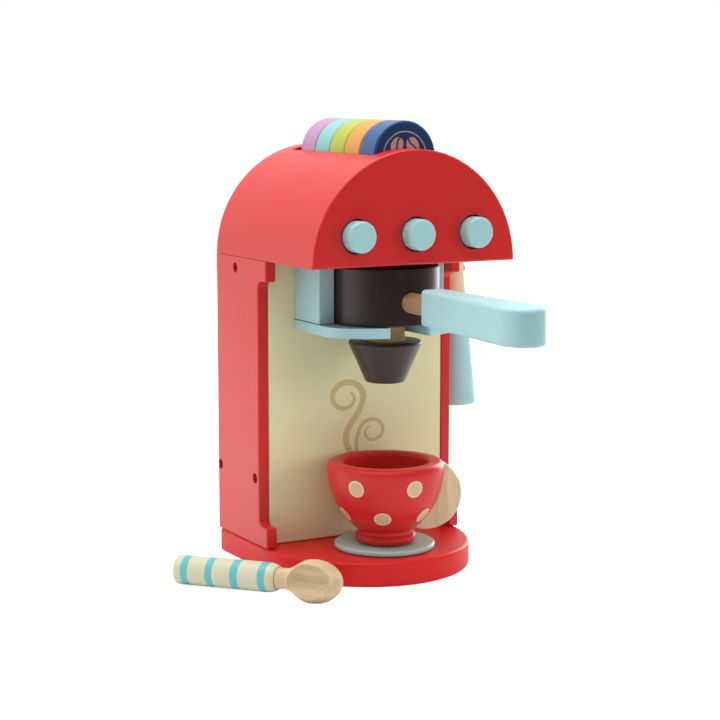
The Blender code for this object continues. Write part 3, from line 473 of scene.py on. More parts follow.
def _figure_group() -> bpy.types.NodeTree:
    """Beech: soft growth bands, fine fibres and short dark flecks."""
    graph, given, end = _open_group(
        Pattern.FIGURE,
        {"Vector": "Vector", "Light": "Color", "Dark": "Color", "Fibre": "Vector", "Sheen": "Float"},
        {"Colour": "Color", "Roughness": "Float", "Height": "Float"},
    )
    along = graph.vector("MULTIPLY", given["Vector"], given["Fibre"])
    growth = graph.noise(along, GROWTH_SCALE, 3.0)
    fibres = graph.noise(along, WOOD_FIBRE_SCALE, 4.0)
    flecks = graph.step(graph.noise(along, FLECK_SCALE, 1.0), *FLECK_RANGE)
    tone = graph.math("MULTIPLY_ADD", fibres, WOOD_FIBRE_TONE, graph.math("MULTIPLY", growth, GROWTH_TONE))
    tone = graph.step(tone, *TONE_RANGE)
    tone = graph.math("MULTIPLY_ADD", flecks, FLECK_TONE, tone)
    colour = graph.mix(tone, given["Light"], given["Dark"])
    rough = graph.math("MULTIPLY_ADD", fibres, WOOD_ROUGHNESS, given["Sheen"])
    height = graph.math("SUBTRACT", fibres, graph.math("MULTIPLY", flecks, FLECK_DEPTH))
    graph.feed(end, {"Colour": colour, "Roughness": rough, "Height": height})
    return graph.tree


def _spots_group() -> bpy.types.NodeTree:
    """A ring of round spots about an upright axis, with their rims."""
    graph, given, end = _open_group(
        Pattern.SPOTS,
        {
            "Vector": "Vector", "Step": "Float", "Phase": "Float", "Row": "Vector", "Radius": "Float",
            "Rim": "Float",
        },
        {"Spot": "Float", "Rim": "Float"},
    )
    parts = graph.node("ShaderNodeSeparateXYZ", {0: given["Vector"]}).outputs
    angle = graph.math("SUBTRACT", graph.math("ARCTAN2", parts["Y"], parts["X"]), given["Phase"])
    half = graph.math("MULTIPLY", given["Step"], 0.5)
    folded = graph.math("WRAP", angle, half, graph.math("MULTIPLY", half, -1.0))
    flat = graph.vector("MULTIPLY", given["Vector"], (1.0, 1.0, 0.0))
    reach = graph.vector("LENGTH", flat, output="Value")
    place = graph.node(
        "ShaderNodeCombineXYZ",
        {
            "X": graph.math("MULTIPLY", reach, graph.math("COSINE", folded)),
            "Y": graph.math("MULTIPLY", reach, graph.math("SINE", folded)),
            "Z": parts["Z"],
        },
    ).outputs[0]
    away = graph.vector("DISTANCE", place, given["Row"], output="Value")
    soft = graph.math("ADD", given["Radius"], SOFT_EDGE)
    spot = graph.math("SUBTRACT", 1.0, graph.step(away, given["Radius"], soft))
    inner = graph.math("SUBTRACT", given["Radius"], given["Rim"])
    rim = graph.math("MULTIPLY", spot, graph.step(away, graph.math("SUBTRACT", inner, SOFT_EDGE), inner))
    graph.feed(end, {"Spot": spot, "Rim": rim})
    return graph.tree


def _bean_group() -> bpy.types.NodeTree:
    """One printed bean: an oval with a bent crease, in the XZ plane."""
    graph, given, end = _open_group(
        Pattern.BEAN,
        {
            "Vector": "Vector", "Centre": "Vector", "Turn": "Float", "Half Length": "Float",
            "Half Width": "Float",
        },
        {"Bean": "Float", "Crease": "Float"},
    )
    offset = graph.vector("SUBTRACT", given["Vector"], given["Centre"])
    inputs = {"Vector": offset, "Angle": given["Turn"]}
    level = graph.node("ShaderNodeVectorRotate", inputs, rotation_type="Y_AXIS").outputs[0]
    parts = graph.node("ShaderNodeSeparateXYZ", {0: level}).outputs
    long = graph.math("DIVIDE", parts["X"], given["Half Length"])
    wide = graph.math("DIVIDE", parts["Z"], given["Half Width"])
    away = graph.math("ADD", graph.math("MULTIPLY", long, long), graph.math("MULTIPLY", wide, wide))
    bean = graph.math("SUBTRACT", 1.0, graph.step(away, *BEAN_RANGE))
    wave = graph.math("SINE", graph.math("MULTIPLY", long, CREASE_TURN))
    bend = graph.math("MULTIPLY", wave, CREASE_SWING)
    line = graph.math("ABSOLUTE", graph.math("SUBTRACT", wide, bend))
    crease = graph.math("MULTIPLY", bean, graph.math("SUBTRACT", 1.0, graph.step(line, *CREASE_RANGE)))
    graph.feed(end, {"Bean": bean, "Crease": crease})
    return graph.tree


def _band_group() -> bpy.types.NodeTree:
    """A band across an axis, between two distances from a starting point."""
    graph, given, end = _open_group(
        Pattern.BAND,
        {"Vector": "Vector", "Start": "Vector", "Axis": "Vector", "Low": "Float", "High": "Float"},
        {"Band": "Float"},
    )
    offset = graph.vector("SUBTRACT", given["Vector"], given["Start"])
    along = graph.vector("DOT_PRODUCT", offset, given["Axis"], output="Value")
    rising = graph.step(along, given["Low"], graph.math("ADD", given["Low"], SOFT_EDGE))
    falling = graph.step(along, given["High"], graph.math("ADD", given["High"], SOFT_EDGE))
    band = graph.math("MULTIPLY", rising, graph.math("SUBTRACT", 1.0, falling))
    graph.feed(end, {"Band": band})
    return graph.tree


GROUP_MAKERS: dict[Pattern, Callable[[], bpy.types.NodeTree]] = {
    Pattern.FILM: _film_group,
    Pattern.FIGURE: _figure_group,
    Pattern.SPOTS: _spots_group,
    Pattern.BEAN: _bean_group,
    Pattern.BAND: _band_group,
}


def use_pattern(graph: Graph, pattern: Pattern, inputs: Mapping[str, object]) -> Mapping[str, Socket]:
    """Add a shared node group to a material.

    Args:
        graph: The material's graph.
        pattern: Which group.
        inputs: Values or sockets for its inputs.

    Returns:
        The group's outputs.
    """
    tree = bpy.data.node_groups.get(pattern.value) or GROUP_MAKERS[pattern]()
    return graph.node("ShaderNodeGroup", inputs, node_tree=tree).outputs


class Grain(Enum):
    """Which way the wood runs, as the stretch of its fibres per axis."""

    X = (40.0, 900.0, 900.0)
    Y = (900.0, 40.0, 900.0)
    Z = (900.0, 900.0, 40.0)


@dataclass(frozen=True)
class Surface:
    """The sockets that a finish hands to its shader."""

    colour: Socket
    roughness: Socket
    height: Socket


@dataclass(frozen=True)
class Finish:
    """What every finish has: a name, a shine, a relief and a grain."""

    name: str
    shine: float = 0.5
    relief: float = 0.10
    grain: Grain = Grain.Z
    grain_turn: float = 0.0

    def surface(self, graph: Graph, vector: Socket) -> Surface:
        """Build the pattern; each finish has its own."""
        raise NotImplementedError

    def material(self) -> bpy.types.Material:
        """Return the material, made once."""
        found = bpy.data.materials.get(self.name)
        if found:
            return found
        material = bpy.data.materials.new(self.name)
        material.use_nodes = True
        graph = Graph(material.node_tree)
        vector = graph.node("ShaderNodeTexCoord").outputs["Object"]
        if self.grain_turn:
            inputs = {"Vector": vector, "Angle": math.radians(self.grain_turn)}
            vector = graph.node("ShaderNodeVectorRotate", inputs, rotation_type="Z_AXIS").outputs[0]
        made = self.surface(graph, vector)
        shader = material.node_tree.nodes["Principled BSDF"]
        inputs = {"Strength": self.relief, "Distance": RELIEF_DEPTH, "Height": made.height}
        bump = graph.node("ShaderNodeBump", inputs)
        inputs = {
            "Base Color": made.colour, "Roughness": made.roughness, "Normal": bump.outputs["Normal"],
            "Specular IOR Level": self.shine,
        }
        graph.feed(shader, inputs)
        return material


@dataclass(frozen=True)
class Paint(Finish):
    """Opaque satin paint in one colour."""

    colour: Triple = (0.5, 0.5, 0.5)
    sheen: float = 0.38
    swing: float = 0.10

    def base(self, graph: Graph, vector: Socket) -> Socket | tuple:
        """Colour before the film's mottling."""
        return opaque(self.colour)

    def surface(self, graph: Graph, vector: Socket) -> Surface:
        """Lay the colour down as a brushed film."""
        inputs = {
            "Vector": vector, "Colour": self.base(graph, vector), "Fibre": self.grain.value,
            "Swing": self.swing, "Sheen": self.sheen,
        }
        film = use_pattern(graph, Pattern.FILM, inputs)
        return Surface(film["Colour"], film["Roughness"], film["Height"])


@dataclass(frozen=True)
class SpotRow:
    """One ring of spots on the cup."""

    count: int
    phase: float
    radius: float
    height: float


@dataclass(frozen=True)
class SpottedPaint(Paint):
    """Paint with rings of pale spots about an upright axis."""

    axis: Triple = (0.0, 0.0, 0.0)
    rows: tuple[SpotRow, ...] = ()
    spot: Triple = (0.7, 0.5, 0.3)
    rim: Triple = (0.8, 0.7, 0.5)
    spot_radius: float = 5.4
    rim_width: float = 0.8

    def base(self, graph: Graph, vector: Socket) -> Socket:
        """Blend every row of spots over the paint."""
        axis = tuple(value * MM for value in self.axis)
        centred = graph.vector("SUBTRACT", vector, axis)
        colour: Socket | tuple = opaque(self.colour)
        for row in self.rows:
            inputs = {
                "Vector": centred, "Step": math.tau / row.count, "Phase": math.radians(row.phase),
                "Row": (row.radius * MM, 0.0, row.height * MM),
                "Radius": self.spot_radius * MM, "Rim": self.rim_width * MM,
            }
            spots = use_pattern(graph, Pattern.SPOTS, inputs)
            colour = graph.mix(spots["Spot"], colour, opaque(self.spot))
            colour = graph.mix(spots["Rim"], colour, opaque(self.rim))
        return colour


@dataclass(frozen=True)
class BandedPaint(Paint):
    """Paint with bands of a second colour across an axis."""

    start: Triple = (0.0, 0.0, 0.0)
    axis: Triple = (0.0, 0.0, 1.0)
    bands: tuple[Point, ...] = ()
    band_colour: Triple = (0.3, 0.5, 0.6)

    def base(self, graph: Graph, vector: Socket) -> Socket:
        """Blend the bands over the paint."""
        colour: Socket | tuple = opaque(self.colour)
        start = tuple(value * MM for value in self.start)
        for low, high in self.bands:
            inputs = {
                "Vector": vector, "Start": start, "Axis": self.axis, "Low": low * MM, "High": high * MM,
            }
            band = use_pattern(graph, Pattern.BAND, inputs)["Band"]
            colour = graph.mix(band, colour, opaque(self.band_colour))
        return colour


@dataclass(frozen=True)
class PrintedPaint(Paint):
    """A pod's paint with a dark printed face, a thin ring and three beans."""

    centre: Triple = (0.0, 0.0, 0.0)
    face_y: float = 0.0
    face_depth: float = 0.15
    face: Triple = (0.02, 0.05, 0.12)
    line: Triple = (0.6, 0.6, 0.6)
    bean: Triple = (0.5, 0.25, 0.15)
    face_radius: float = 20.6
    ring_radius: float = 15.4
    ring_width: float = 0.5
    bean_reach: float = 8.8
    bean_half: Point = (5.4, 4.3)
    bean_angles: tuple[float, ...] = (130.0, 50.0, 270.0)
    bean_turns: tuple[float, ...] = (60.0, 120.0, 0.0)

    def base(self, graph: Graph, vector: Socket) -> Socket:
        """Print the face over the paint."""
        centre = tuple(value * MM for value in self.centre)
        offset = graph.vector("SUBTRACT", vector, centre)
        flat = graph.vector("MULTIPLY", offset, (1.0, 0.0, 1.0))
        reach = graph.vector("LENGTH", flat, output="Value")
        depth = graph.node("ShaderNodeSeparateXYZ", {0: vector}).outputs["Y"]
        front = graph.math("LESS_THAN", depth, (self.face_y + self.face_depth) * MM)
        rim = graph.math("LESS_THAN", reach, self.face_radius * MM)
        printed = graph.math("MULTIPLY", front, rim)
        colour = graph.mix(printed, opaque(self.colour), opaque(self.face))
        from_ring = graph.math("ABSOLUTE", graph.math("SUBTRACT", reach, self.ring_radius * MM))
        width = self.ring_width * MM
        ring = graph.math("SUBTRACT", 1.0, graph.step(from_ring, width / 2, width))
        colour = graph.mix(graph.math("MULTIPLY", ring, printed), colour, opaque(self.line))
        for angle, turn in zip(self.bean_angles, self.bean_turns):
            away = math.radians(angle)
            place = (self.bean_reach * MM * math.cos(away), 0.0, self.bean_reach * MM * math.sin(away))
            inputs = {
                "Vector": flat, "Centre": place, "Turn": math.radians(turn),
                "Half Length": self.bean_half[0] * MM, "Half Width": self.bean_half[1] * MM,
            }
            bean = use_pattern(graph, Pattern.BEAN, inputs)
            colour = graph.mix(graph.math("MULTIPLY", bean["Bean"], printed), colour, opaque(self.bean))
            colour = graph.mix(graph.math("MULTIPLY", bean["Crease"], printed), colour, opaque(self.face))
        return colour


@dataclass(frozen=True)
class Beech(Finish):
    """Bare beech with its figure along the grain."""

    light: Triple = (0.64, 0.49, 0.29)
    dark: Triple = (0.47, 0.31, 0.155)
    sheen: float = 0.46

    def figure(self, graph: Graph, vector: Socket) -> Surface:
        """The wood's own pattern."""
        inputs = {
            "Vector": vector, "Light": opaque(self.light), "Dark": opaque(self.dark),
            "Fibre": self.grain.value, "Sheen": self.sheen,
        }
        figure = use_pattern(graph, Pattern.FIGURE, inputs)
        return Surface(figure["Colour"], figure["Roughness"], figure["Height"])

    def surface(self, graph: Graph, vector: Socket) -> Surface:
        """Show the wood and nothing over it."""
        return self.figure(graph, vector)


@dataclass(frozen=True)
class DippedBeech(Beech):
    """Beech whose lower end is dipped in paint."""

    dip: Triple = (0.4, 0.65, 0.7)
    dip_swing: float = 0.1
    dip_sheen: float = 0.36
    level: float = 0.0
    far_below: float = -1000.0

    def surface(self, graph: Graph, vector: Socket) -> Surface:
        """Cover the wood below the level."""
        wood = self.figure(graph, vector)
        inputs = {
            "Vector": vector, "Start": (0.0, 0.0, 0.0), "Axis": (0.0, 0.0, 1.0),
            "Low": self.far_below * MM, "High": self.level * MM,
        }
        band = use_pattern(graph, Pattern.BAND, inputs)["Band"]
        inputs = {
            "Vector": vector, "Colour": opaque(self.dip), "Fibre": self.grain.value,
            "Swing": self.dip_swing, "Sheen": self.dip_sheen,
        }
        film = use_pattern(graph, Pattern.FILM, inputs)
        colour = graph.mix(band, wood.colour, film["Colour"])
        return Surface(colour, film["Roughness"], film["Height"])


@dataclass(frozen=True)
class Steel(Finish):
    """Plated steel with fine turning marks."""

    colour: Triple = (0.52, 0.52, 0.54)
    shade: float = 0.8
    mark_scale: float = 1800.0
    mark_roughness: float = 0.2
    sheen: float = 0.22

    def surface(self, graph: Graph, vector: Socket) -> Surface:
        """Mark the metal and make the shader metallic."""
        graph.feed(graph.tree.nodes["Principled BSDF"], {"Metallic": 1.0})
        marks = graph.noise(vector, self.mark_scale)
        shaded = tuple(value * self.shade for value in self.colour)
        colour = graph.mix(marks, opaque(self.colour), opaque(shaded))
        rough = graph.math("MULTIPLY_ADD", marks, self.mark_roughness, self.sheen)
        return Surface(colour, rough, marks)


RED_COLOUR = (0.62, 0.014, 0.012)
SKY_COLOUR = (0.38, 0.64, 0.66)

RED = Paint("red_paint", colour=RED_COLOUR)
RED_FLAT = Paint("red_paint_across", colour=RED_COLOUR, grain=Grain.Y)
RED_BASE = Paint("red_paint_base", colour=(0.66, 0.014, 0.012), grain=Grain.Y, shine=0.22)
CREAM = Paint("cream_paint", colour=(0.80, 0.76, 0.455), sheen=0.5, relief=0.08, grain=Grain.X)
SKY = Paint("sky_paint", colour=SKY_COLOUR, grain=Grain.X)
SKY_LONG = Paint("sky_paint_long", colour=SKY_COLOUR, grain=Grain.Y)
SLATE = Paint("slate_paint", colour=(0.37, 0.53, 0.49), grain=Grain.X)
COCOA = Paint("cocoa_paint", colour=(0.022, 0.009, 0.008), sheen=0.36)
STEAM = Paint("steam_print", colour=(0.62, 0.50, 0.22), sheen=0.5)
BEECH = Beech("bare_beech")
# Beech along Y, darkened as painted shade: it stands for the shade on the handle's dowel, and the pod trough
# shares it
BEECH_LONG_PAINTED_SHADE = Beech("beech_long_painted_shade", grain=Grain.Y, light=(0.42, 0.26, 0.135), dark=(0.30, 0.16, 0.075))
BEECH_ACROSS = Beech("beech_x", grain=Grain.X)
# Paler beech for the ear and the wand, lightened as a painted highlight: it stands for the sheen their lit
# sides catch
BEECH_PALE_PAINTED_SHEEN = Beech("beech_pale_painted_sheen", light=(0.80, 0.66, 0.44), dark=(0.62, 0.47, 0.27))
STEEL = Steel("plated_steel", relief=0.05)


# The toy


@dataclass(frozen=True)
class BaseBoard:
    """The board that everything stands on, with a rounded nose."""

    half_width: float = 71.6
    back: float = 101.2
    nose_centre: float = 35.3
    nose_depth: float = 79.0
    thickness: float = 16.0
    rounding: float = 2.2
    edge_steps: int = 6
    nose_steps: int = 96
    hole_spread: float = 40.0
    hole_y: float = 71.35
    hole_radius: float = 3.4
    hole_depth: float = 4.5

    def outline(self) -> list[Point]:
        """Plan of the board: straight sides and an elliptical nose."""
        points = [(self.half_width, self.back)]
        for x, y in arc((0, 0), 1.0, 0, -180, self.nose_steps):
            points.append((self.half_width * x, self.nose_centre + self.nose_depth * y))
        return points + [(-self.half_width, self.back)]

    def build(self) -> None:
        """Saw, round and drill the board."""
        mesh = soften(board(self.outline(), "Z", 0.0, self.thickness), self.rounding, self.edge_steps)
        holes = []
        for _, sign in SIDES:
            hole = peg(self.hole_radius, -OVERRUN, self.hole_depth)
            holes.append(aimed(hole, (0, 0, 1), (sign * self.hole_spread, self.hole_y, 0)))
        ticket = Ticket("base", "machine", ("base_board",), "red_wood")
        finish_piece(carved(mesh, holes), ticket, RED_BASE.material())


@dataclass(frozen=True)
class SidePanels:
    """The two side panels, stepped in at the front for the cup."""

    outer: float = 72.5
    thickness: float = 7.4
    back: float = 101.2
    front: float = 26.2
    waist: float = 37.9
    floor: float = 16.3
    foot_top: float = 29.8
    tab_bottom: float = 190.0
    top: float = 203.3
    cove: float = 5.0
    rounding: float = 1.2
    sink_radius: float = 3.4
    sink_depth: float = 4.5
    screw_places: tuple[Point, ...] = ((71.35, 195.95), (97.2, 60.6), (43.7, 60.2))
    pin_place: Point = (62.2, 189.0)
    pin_radius: float = 3.3
    pin_floor: float = 1.1

    def outline(self) -> list[Point]:
        """Side view of a panel, with its two coves."""
        cove_y = self.waist - self.cove
        points = [(self.back, self.floor), (self.front, self.floor), (self.front, self.foot_top)]
        points += arc((cove_y, self.foot_top + self.cove), self.cove, -90, 0)
        points += arc((cove_y, self.tab_bottom - self.cove), self.cove, 0, 90)
        return points + [(self.front, self.tab_bottom), (self.front, self.top), (self.back, self.top)]

    def _is_free(self, edge: Edge) -> bool:
        """Whether an edge isn't on the panel's top, where the hood sits."""
        return min(vert.co.z for vert in edge.verts) < self.top - WELD

    def build(self) -> None:
        """Saw both panels, sink their screws and bore the right one for the wand."""
        for side, sign in SIDES:
            low = -self.outer if sign < 0 else self.outer - self.thickness
            mesh = board(self.outline(), "X", low, low + self.thickness)
            soften(mesh, self.rounding, wanted=self._is_free)
            cutters = []
            for y, z in self.screw_places:
                sink = peg(self.sink_radius, -self.sink_depth, OVERRUN)
                cutters.append(aimed(sink, (sign, 0, 0), (sign * self.outer, y, z)))
            if sign > 0:
                depth = self.thickness - self.pin_floor
                bore = peg(self.pin_radius, -depth, OVERRUN)
                cutters.append(aimed(bore, (1, 0, 0), (self.outer, *self.pin_place)))
            name = "side_panel_" + side
            ticket = Ticket(name + "_dressed", "machine", (name,), "red_wood")
            finish_piece(carved(mesh, cutters), ticket, RED.material())


@dataclass(frozen=True)
class ButtonRow:
    """Three push buttons in the hood's front board."""

    seat: float = -24.7
    face: float = -47.4
    height: float = 222.7
    spacing: float = 42.0
    radius: float = 9.8
    dome: float = 1.8
    dome_steps: int = 8
    flange_radius: float = 12.5
    flange: float = 3.0
    stem_radius: float = 3.4
    stem_tail: float = 20.5

    def places(self) -> dict[str, float]:
        """How far to the right of the middle each button stands."""
        return {"left": -self.spacing, "middle": 0.0, "right": self.spacing}

    def profile(self) -> list[Point]:
        """Half section of a button along its axis."""
        reach = self.seat - self.face
        tail = self.flange + self.stem_tail
        profile = [(0.0, -tail), (self.stem_radius, -tail), (self.stem_radius, -self.flange)]
        profile += [(self.flange_radius, -self.flange), (self.flange_radius, 0.0), (self.radius, 0.0)]
        profile += arc((self.radius - self.dome, reach - self.dome), self.dome, 0, 90, self.dome_steps)
        return profile + [(0.0, reach)]

    def build(self) -> None:
        """Turn the three buttons."""
        for side, x in self.places().items():
            mesh = aimed(turned(self.profile()), (0, -1, 0), (x, self.seat, self.height))
            ticket = Ticket("push_" + side, side + "_button", ("button_" + side,), "sky_wood")
            finish_piece(mesh, ticket, SKY.material())


@dataclass(frozen=True)
class HoodShell:
    """The arched hood: end boards and bent sides, painted as one."""

    arc_z: float = 202.8
    radius: float = 72.5
    inner_radius: float = 65.1
    arch_steps: int = 120
    underside: float = 203.6
    front: float = -39.4
    front_inner: float = -25.0
    back_inner: float = 87.8
    back: float = 101.2
    rounding: float = 1.6
    slot_half: float = 22.8
    slot_front: float = -24.7
    slot_back: float = 87.5
    slot_rounding: float = 0.7
    slot_steps: int = 3
    hole_radius: float = 10.8
    skin_play: float = 0.15
    rim_play: float = 0.05
    flat_play: float = 0.01
    buttons: ButtonRow = ButtonRow()

    def arch(self, radius: float, floor: float) -> list[Point]:
        """Arched outline, flat at its floor."""
        start = math.degrees(math.asin((floor - self.arc_z) / radius))
        return arc((0, self.arc_z), radius, start, 180 - start, self.arch_steps)

    def _is_seam(self, edge: Edge) -> bool:
        """Whether an edge lies on a side panel."""
        first, second = (vert.co for vert in edge.verts)
        level = abs(first.z - self.underside) < WELD and abs(second.z - self.underside) < WELD
        return level and abs(first.x - second.x) < WELD

    def _is_opening(self, edge: Edge) -> bool:
        """Whether an edge lies on the slot's or a button hole's outer rim."""
        for vert in edge.verts:
            x, y, z = vert.co
            on_skin = abs(math.hypot(x, z - self.arc_z) - self.radius) < self.skin_play
            in_slot = (
                abs(x) < self.slot_half + self.flat_play
                and self.slot_front - self.flat_play < y < self.slot_back + self.flat_play
            )
            on_front = abs(y - self.front) < self.flat_play and any(
                abs(math.hypot(x - place, z - self.buttons.height) - self.hole_radius) < self.rim_play
                for place in self.buttons.places().values()
            )
            if not (on_skin and in_slot) and not on_front:
                return False
        return True

    def build(self) -> None:
        """Make the arch, hollow it and cut the slot and the button holes."""
        outer = board(self.arch(self.radius, self.underside), "Y", self.front, self.back)
        soften(outer, self.rounding, wanted=lambda edge: not self._is_seam(edge))
        mouth = [(sign * self.inner_radius, self.arc_z - OVERRUN) for _, sign in SIDES]
        inner = self.arch(self.inner_radius, self.underside) + mouth
        hollow = board(inner, "Y", self.front_inner, self.back_inner)
        slot = block(
            (-self.slot_half, self.slot_front, self.underside + self.inner_radius / 2),
            (self.slot_half, self.slot_back, self.arc_z + self.radius + OVERRUN),
        )
        depth = self.front_inner - self.front + OVERRUN
        holes = [
            aimed(peg(self.hole_radius, -OVERRUN, depth), (0, 1, 0), (x, self.front, self.buttons.height))
            for x in self.buttons.places().values()
        ]
        mesh = carved(outer, [hollow, slot, *holes])
        soften(mesh, self.slot_rounding, self.slot_steps, self._is_opening)
        nodes = ("hood_front_board", "hood_back_board", "hood_side_left", "hood_side_right")
        finish_piece(mesh, Ticket("hood_shell", "machine", nodes, "red_wood"), RED_FLAT.material())


@dataclass(frozen=True)
class ButtonSprings:
    """The springs behind the buttons, which shorten as the buttons go in."""

    rail: float = -9.7
    front: float = -21.7
    travel: float = 4.0
    buttons: ButtonRow = ButtonRow()

    def build(self, nodes: Mapping[str, bpy.types.Object]) -> None:
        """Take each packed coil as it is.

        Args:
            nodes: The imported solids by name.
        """
        for side, x in self.buttons.places().items():
            mesh = bmesh.new()
            mesh.from_mesh(nodes["button_spring_" + side].data)
            bmesh.ops.scale(mesh, vec=(1 / MM, 1 / MM, 1 / MM), verts=mesh.verts)
            bmesh.ops.remove_doubles(mesh, verts=mesh.verts, dist=WELD)
            ticket = Ticket("coil_" + side, "machine", ("button_spring_" + side,), "steel")
            coil = finish_piece(mesh, ticket, STEEL.material())
            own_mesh(coil)


@dataclass(frozen=True)
class PodRow:
    """Five coffee pods in the slot of the hood."""

    radius: float = 22.2
    height: float = 270.4
    thickness: float = 19.4
    pitch: float = 20.0
    first: float = -14.85
    rounding: float = 1.1
    colours: Mapping[str, Triple] = field(
        default_factory=lambda: {
            "blue": (0.008, 0.075, 0.255),
            "orange": (0.660, 0.300, 0.030),
            "lime": (0.410, 0.480, 0.025),
            "aqua": (0.225, 0.520, 0.515),
            "lilac": (0.460, 0.240, 0.430),
        }
    )
    face_colour: Triple = (0.009, 0.036, 0.118)
    ring_colour: Triple = (0.30, 0.36, 0.44)
    bean_colour: Triple = (0.50, 0.29, 0.23)
    sheen: float = 0.34

    def finish(self, name: str, colour: Triple, y: float) -> Paint:
        """The paint of one pod; the front one has a printed face."""
        if name != "blue":
            return Paint(name + "_paint", colour=colour, grain=Grain.Y, sheen=self.sheen)
        return PrintedPaint(
            name + "_paint", colour=colour, grain=Grain.Y, sheen=self.sheen,
            centre=(0.0, y, self.height), face_y=y - self.thickness / 2,
            face=self.face_colour, line=self.ring_colour, bean=self.bean_colour,
        )

    def build(self) -> None:
        """Turn and paint the five pods."""
        half = self.thickness / 2
        for index, (name, colour) in enumerate(self.colours.items()):
            y = self.first + index * self.pitch
            mesh = aimed(peg(self.radius, -half, half, self.rounding), (0, 1, 0), (0, y, self.height))
            ticket = Ticket(name + "_disc", name + "_pod", ("pod_" + name,), name + "_wood")
            finish_piece(mesh, ticket, self.finish(name, colour, y).material())


@dataclass(frozen=True)
class GroupHead:
    """The hollowed block under the hood and the fork plate below it."""

    half_width: float = 46.0
    front: float = 3.5
    back: float = 37.6
    low: float = 164.1
    high: float = 203.3
    recess_radius: float = 35.6
    block_rounding: float = 0.7
    block_steps: int = 3
    plate_half: float = 46.5
    plate_low: float = 157.3
    plate_high: float = 163.8
    plate_centre: float = -3.0
    plate_depth: float = 31.0
    slot_half: float = 13.5
    prong_rounding: float = 4.5
    prong_steps: int = 8
    curve_steps: int = 40
    plate_rounding: float = 1.8

    def build_block(self) -> None:
        """Cut the block and hollow it for the filter."""
        mesh = block((-self.half_width, self.front, self.low), (self.half_width, self.back, self.high))
        soften(mesh, self.block_rounding, self.block_steps)
        recess = peg(self.recess_radius, self.low - OVERRUN, self.high + OVERRUN)
        ticket = Ticket("brew_block", "machine", ("group_block",), "sky_wood")
        finish_piece(carved(mesh, [recess]), ticket, SKY.material())

    def plate_outline(self) -> list[Point]:
        """Plan of the plate, a D with a round-ended slot from its nose."""
        mouth = math.degrees(math.acos(self.slot_half / self.plate_half))
        right = [(self.plate_half, self.back)]
        for x, y in arc((0, 0), 1.0, 0, -mouth, self.curve_steps):
            right.append((self.plate_half * x, self.plate_centre + self.plate_depth * y))
        slot = arc((0, 0), self.slot_half, 0, 180, self.curve_steps)
        return right + slot + [(-x, y) for x, y in reversed(right)]

    def build_plate(self) -> None:
        """Saw the plate and round its prongs and its rims."""
        mesh = board(self.plate_outline(), "Z", self.plate_low, self.plate_high)
        tips = [
            edge
            for edge in mesh.edges
            if not is_level(edge)
            and abs(abs(edge.verts[0].co.x) - self.slot_half) < WELD
            and edge.verts[0].co.y < self.plate_centre
        ]
        bmesh.ops.bevel(
            mesh, geom=tips, offset=self.prong_rounding, segments=self.prong_steps, profile=0.5,
            affect="EDGES", material=-1,
        )

        def is_rim(edge: Edge) -> bool:
            """Whether an edge is on an outer rim and not against the wall."""
            return is_level(edge) and any(vert.co.y < self.back - WELD for vert in edge.verts)

        soften(mesh, self.plate_rounding, EDGE_STEPS, is_rim)
        finish_piece(mesh, Ticket("fork", "machine", ("fork_plate",), "sky_wood"), SKY.material())

    def build(self) -> None:
        """Make the block and the plate."""
        self.build_block()
        self.build_plate()


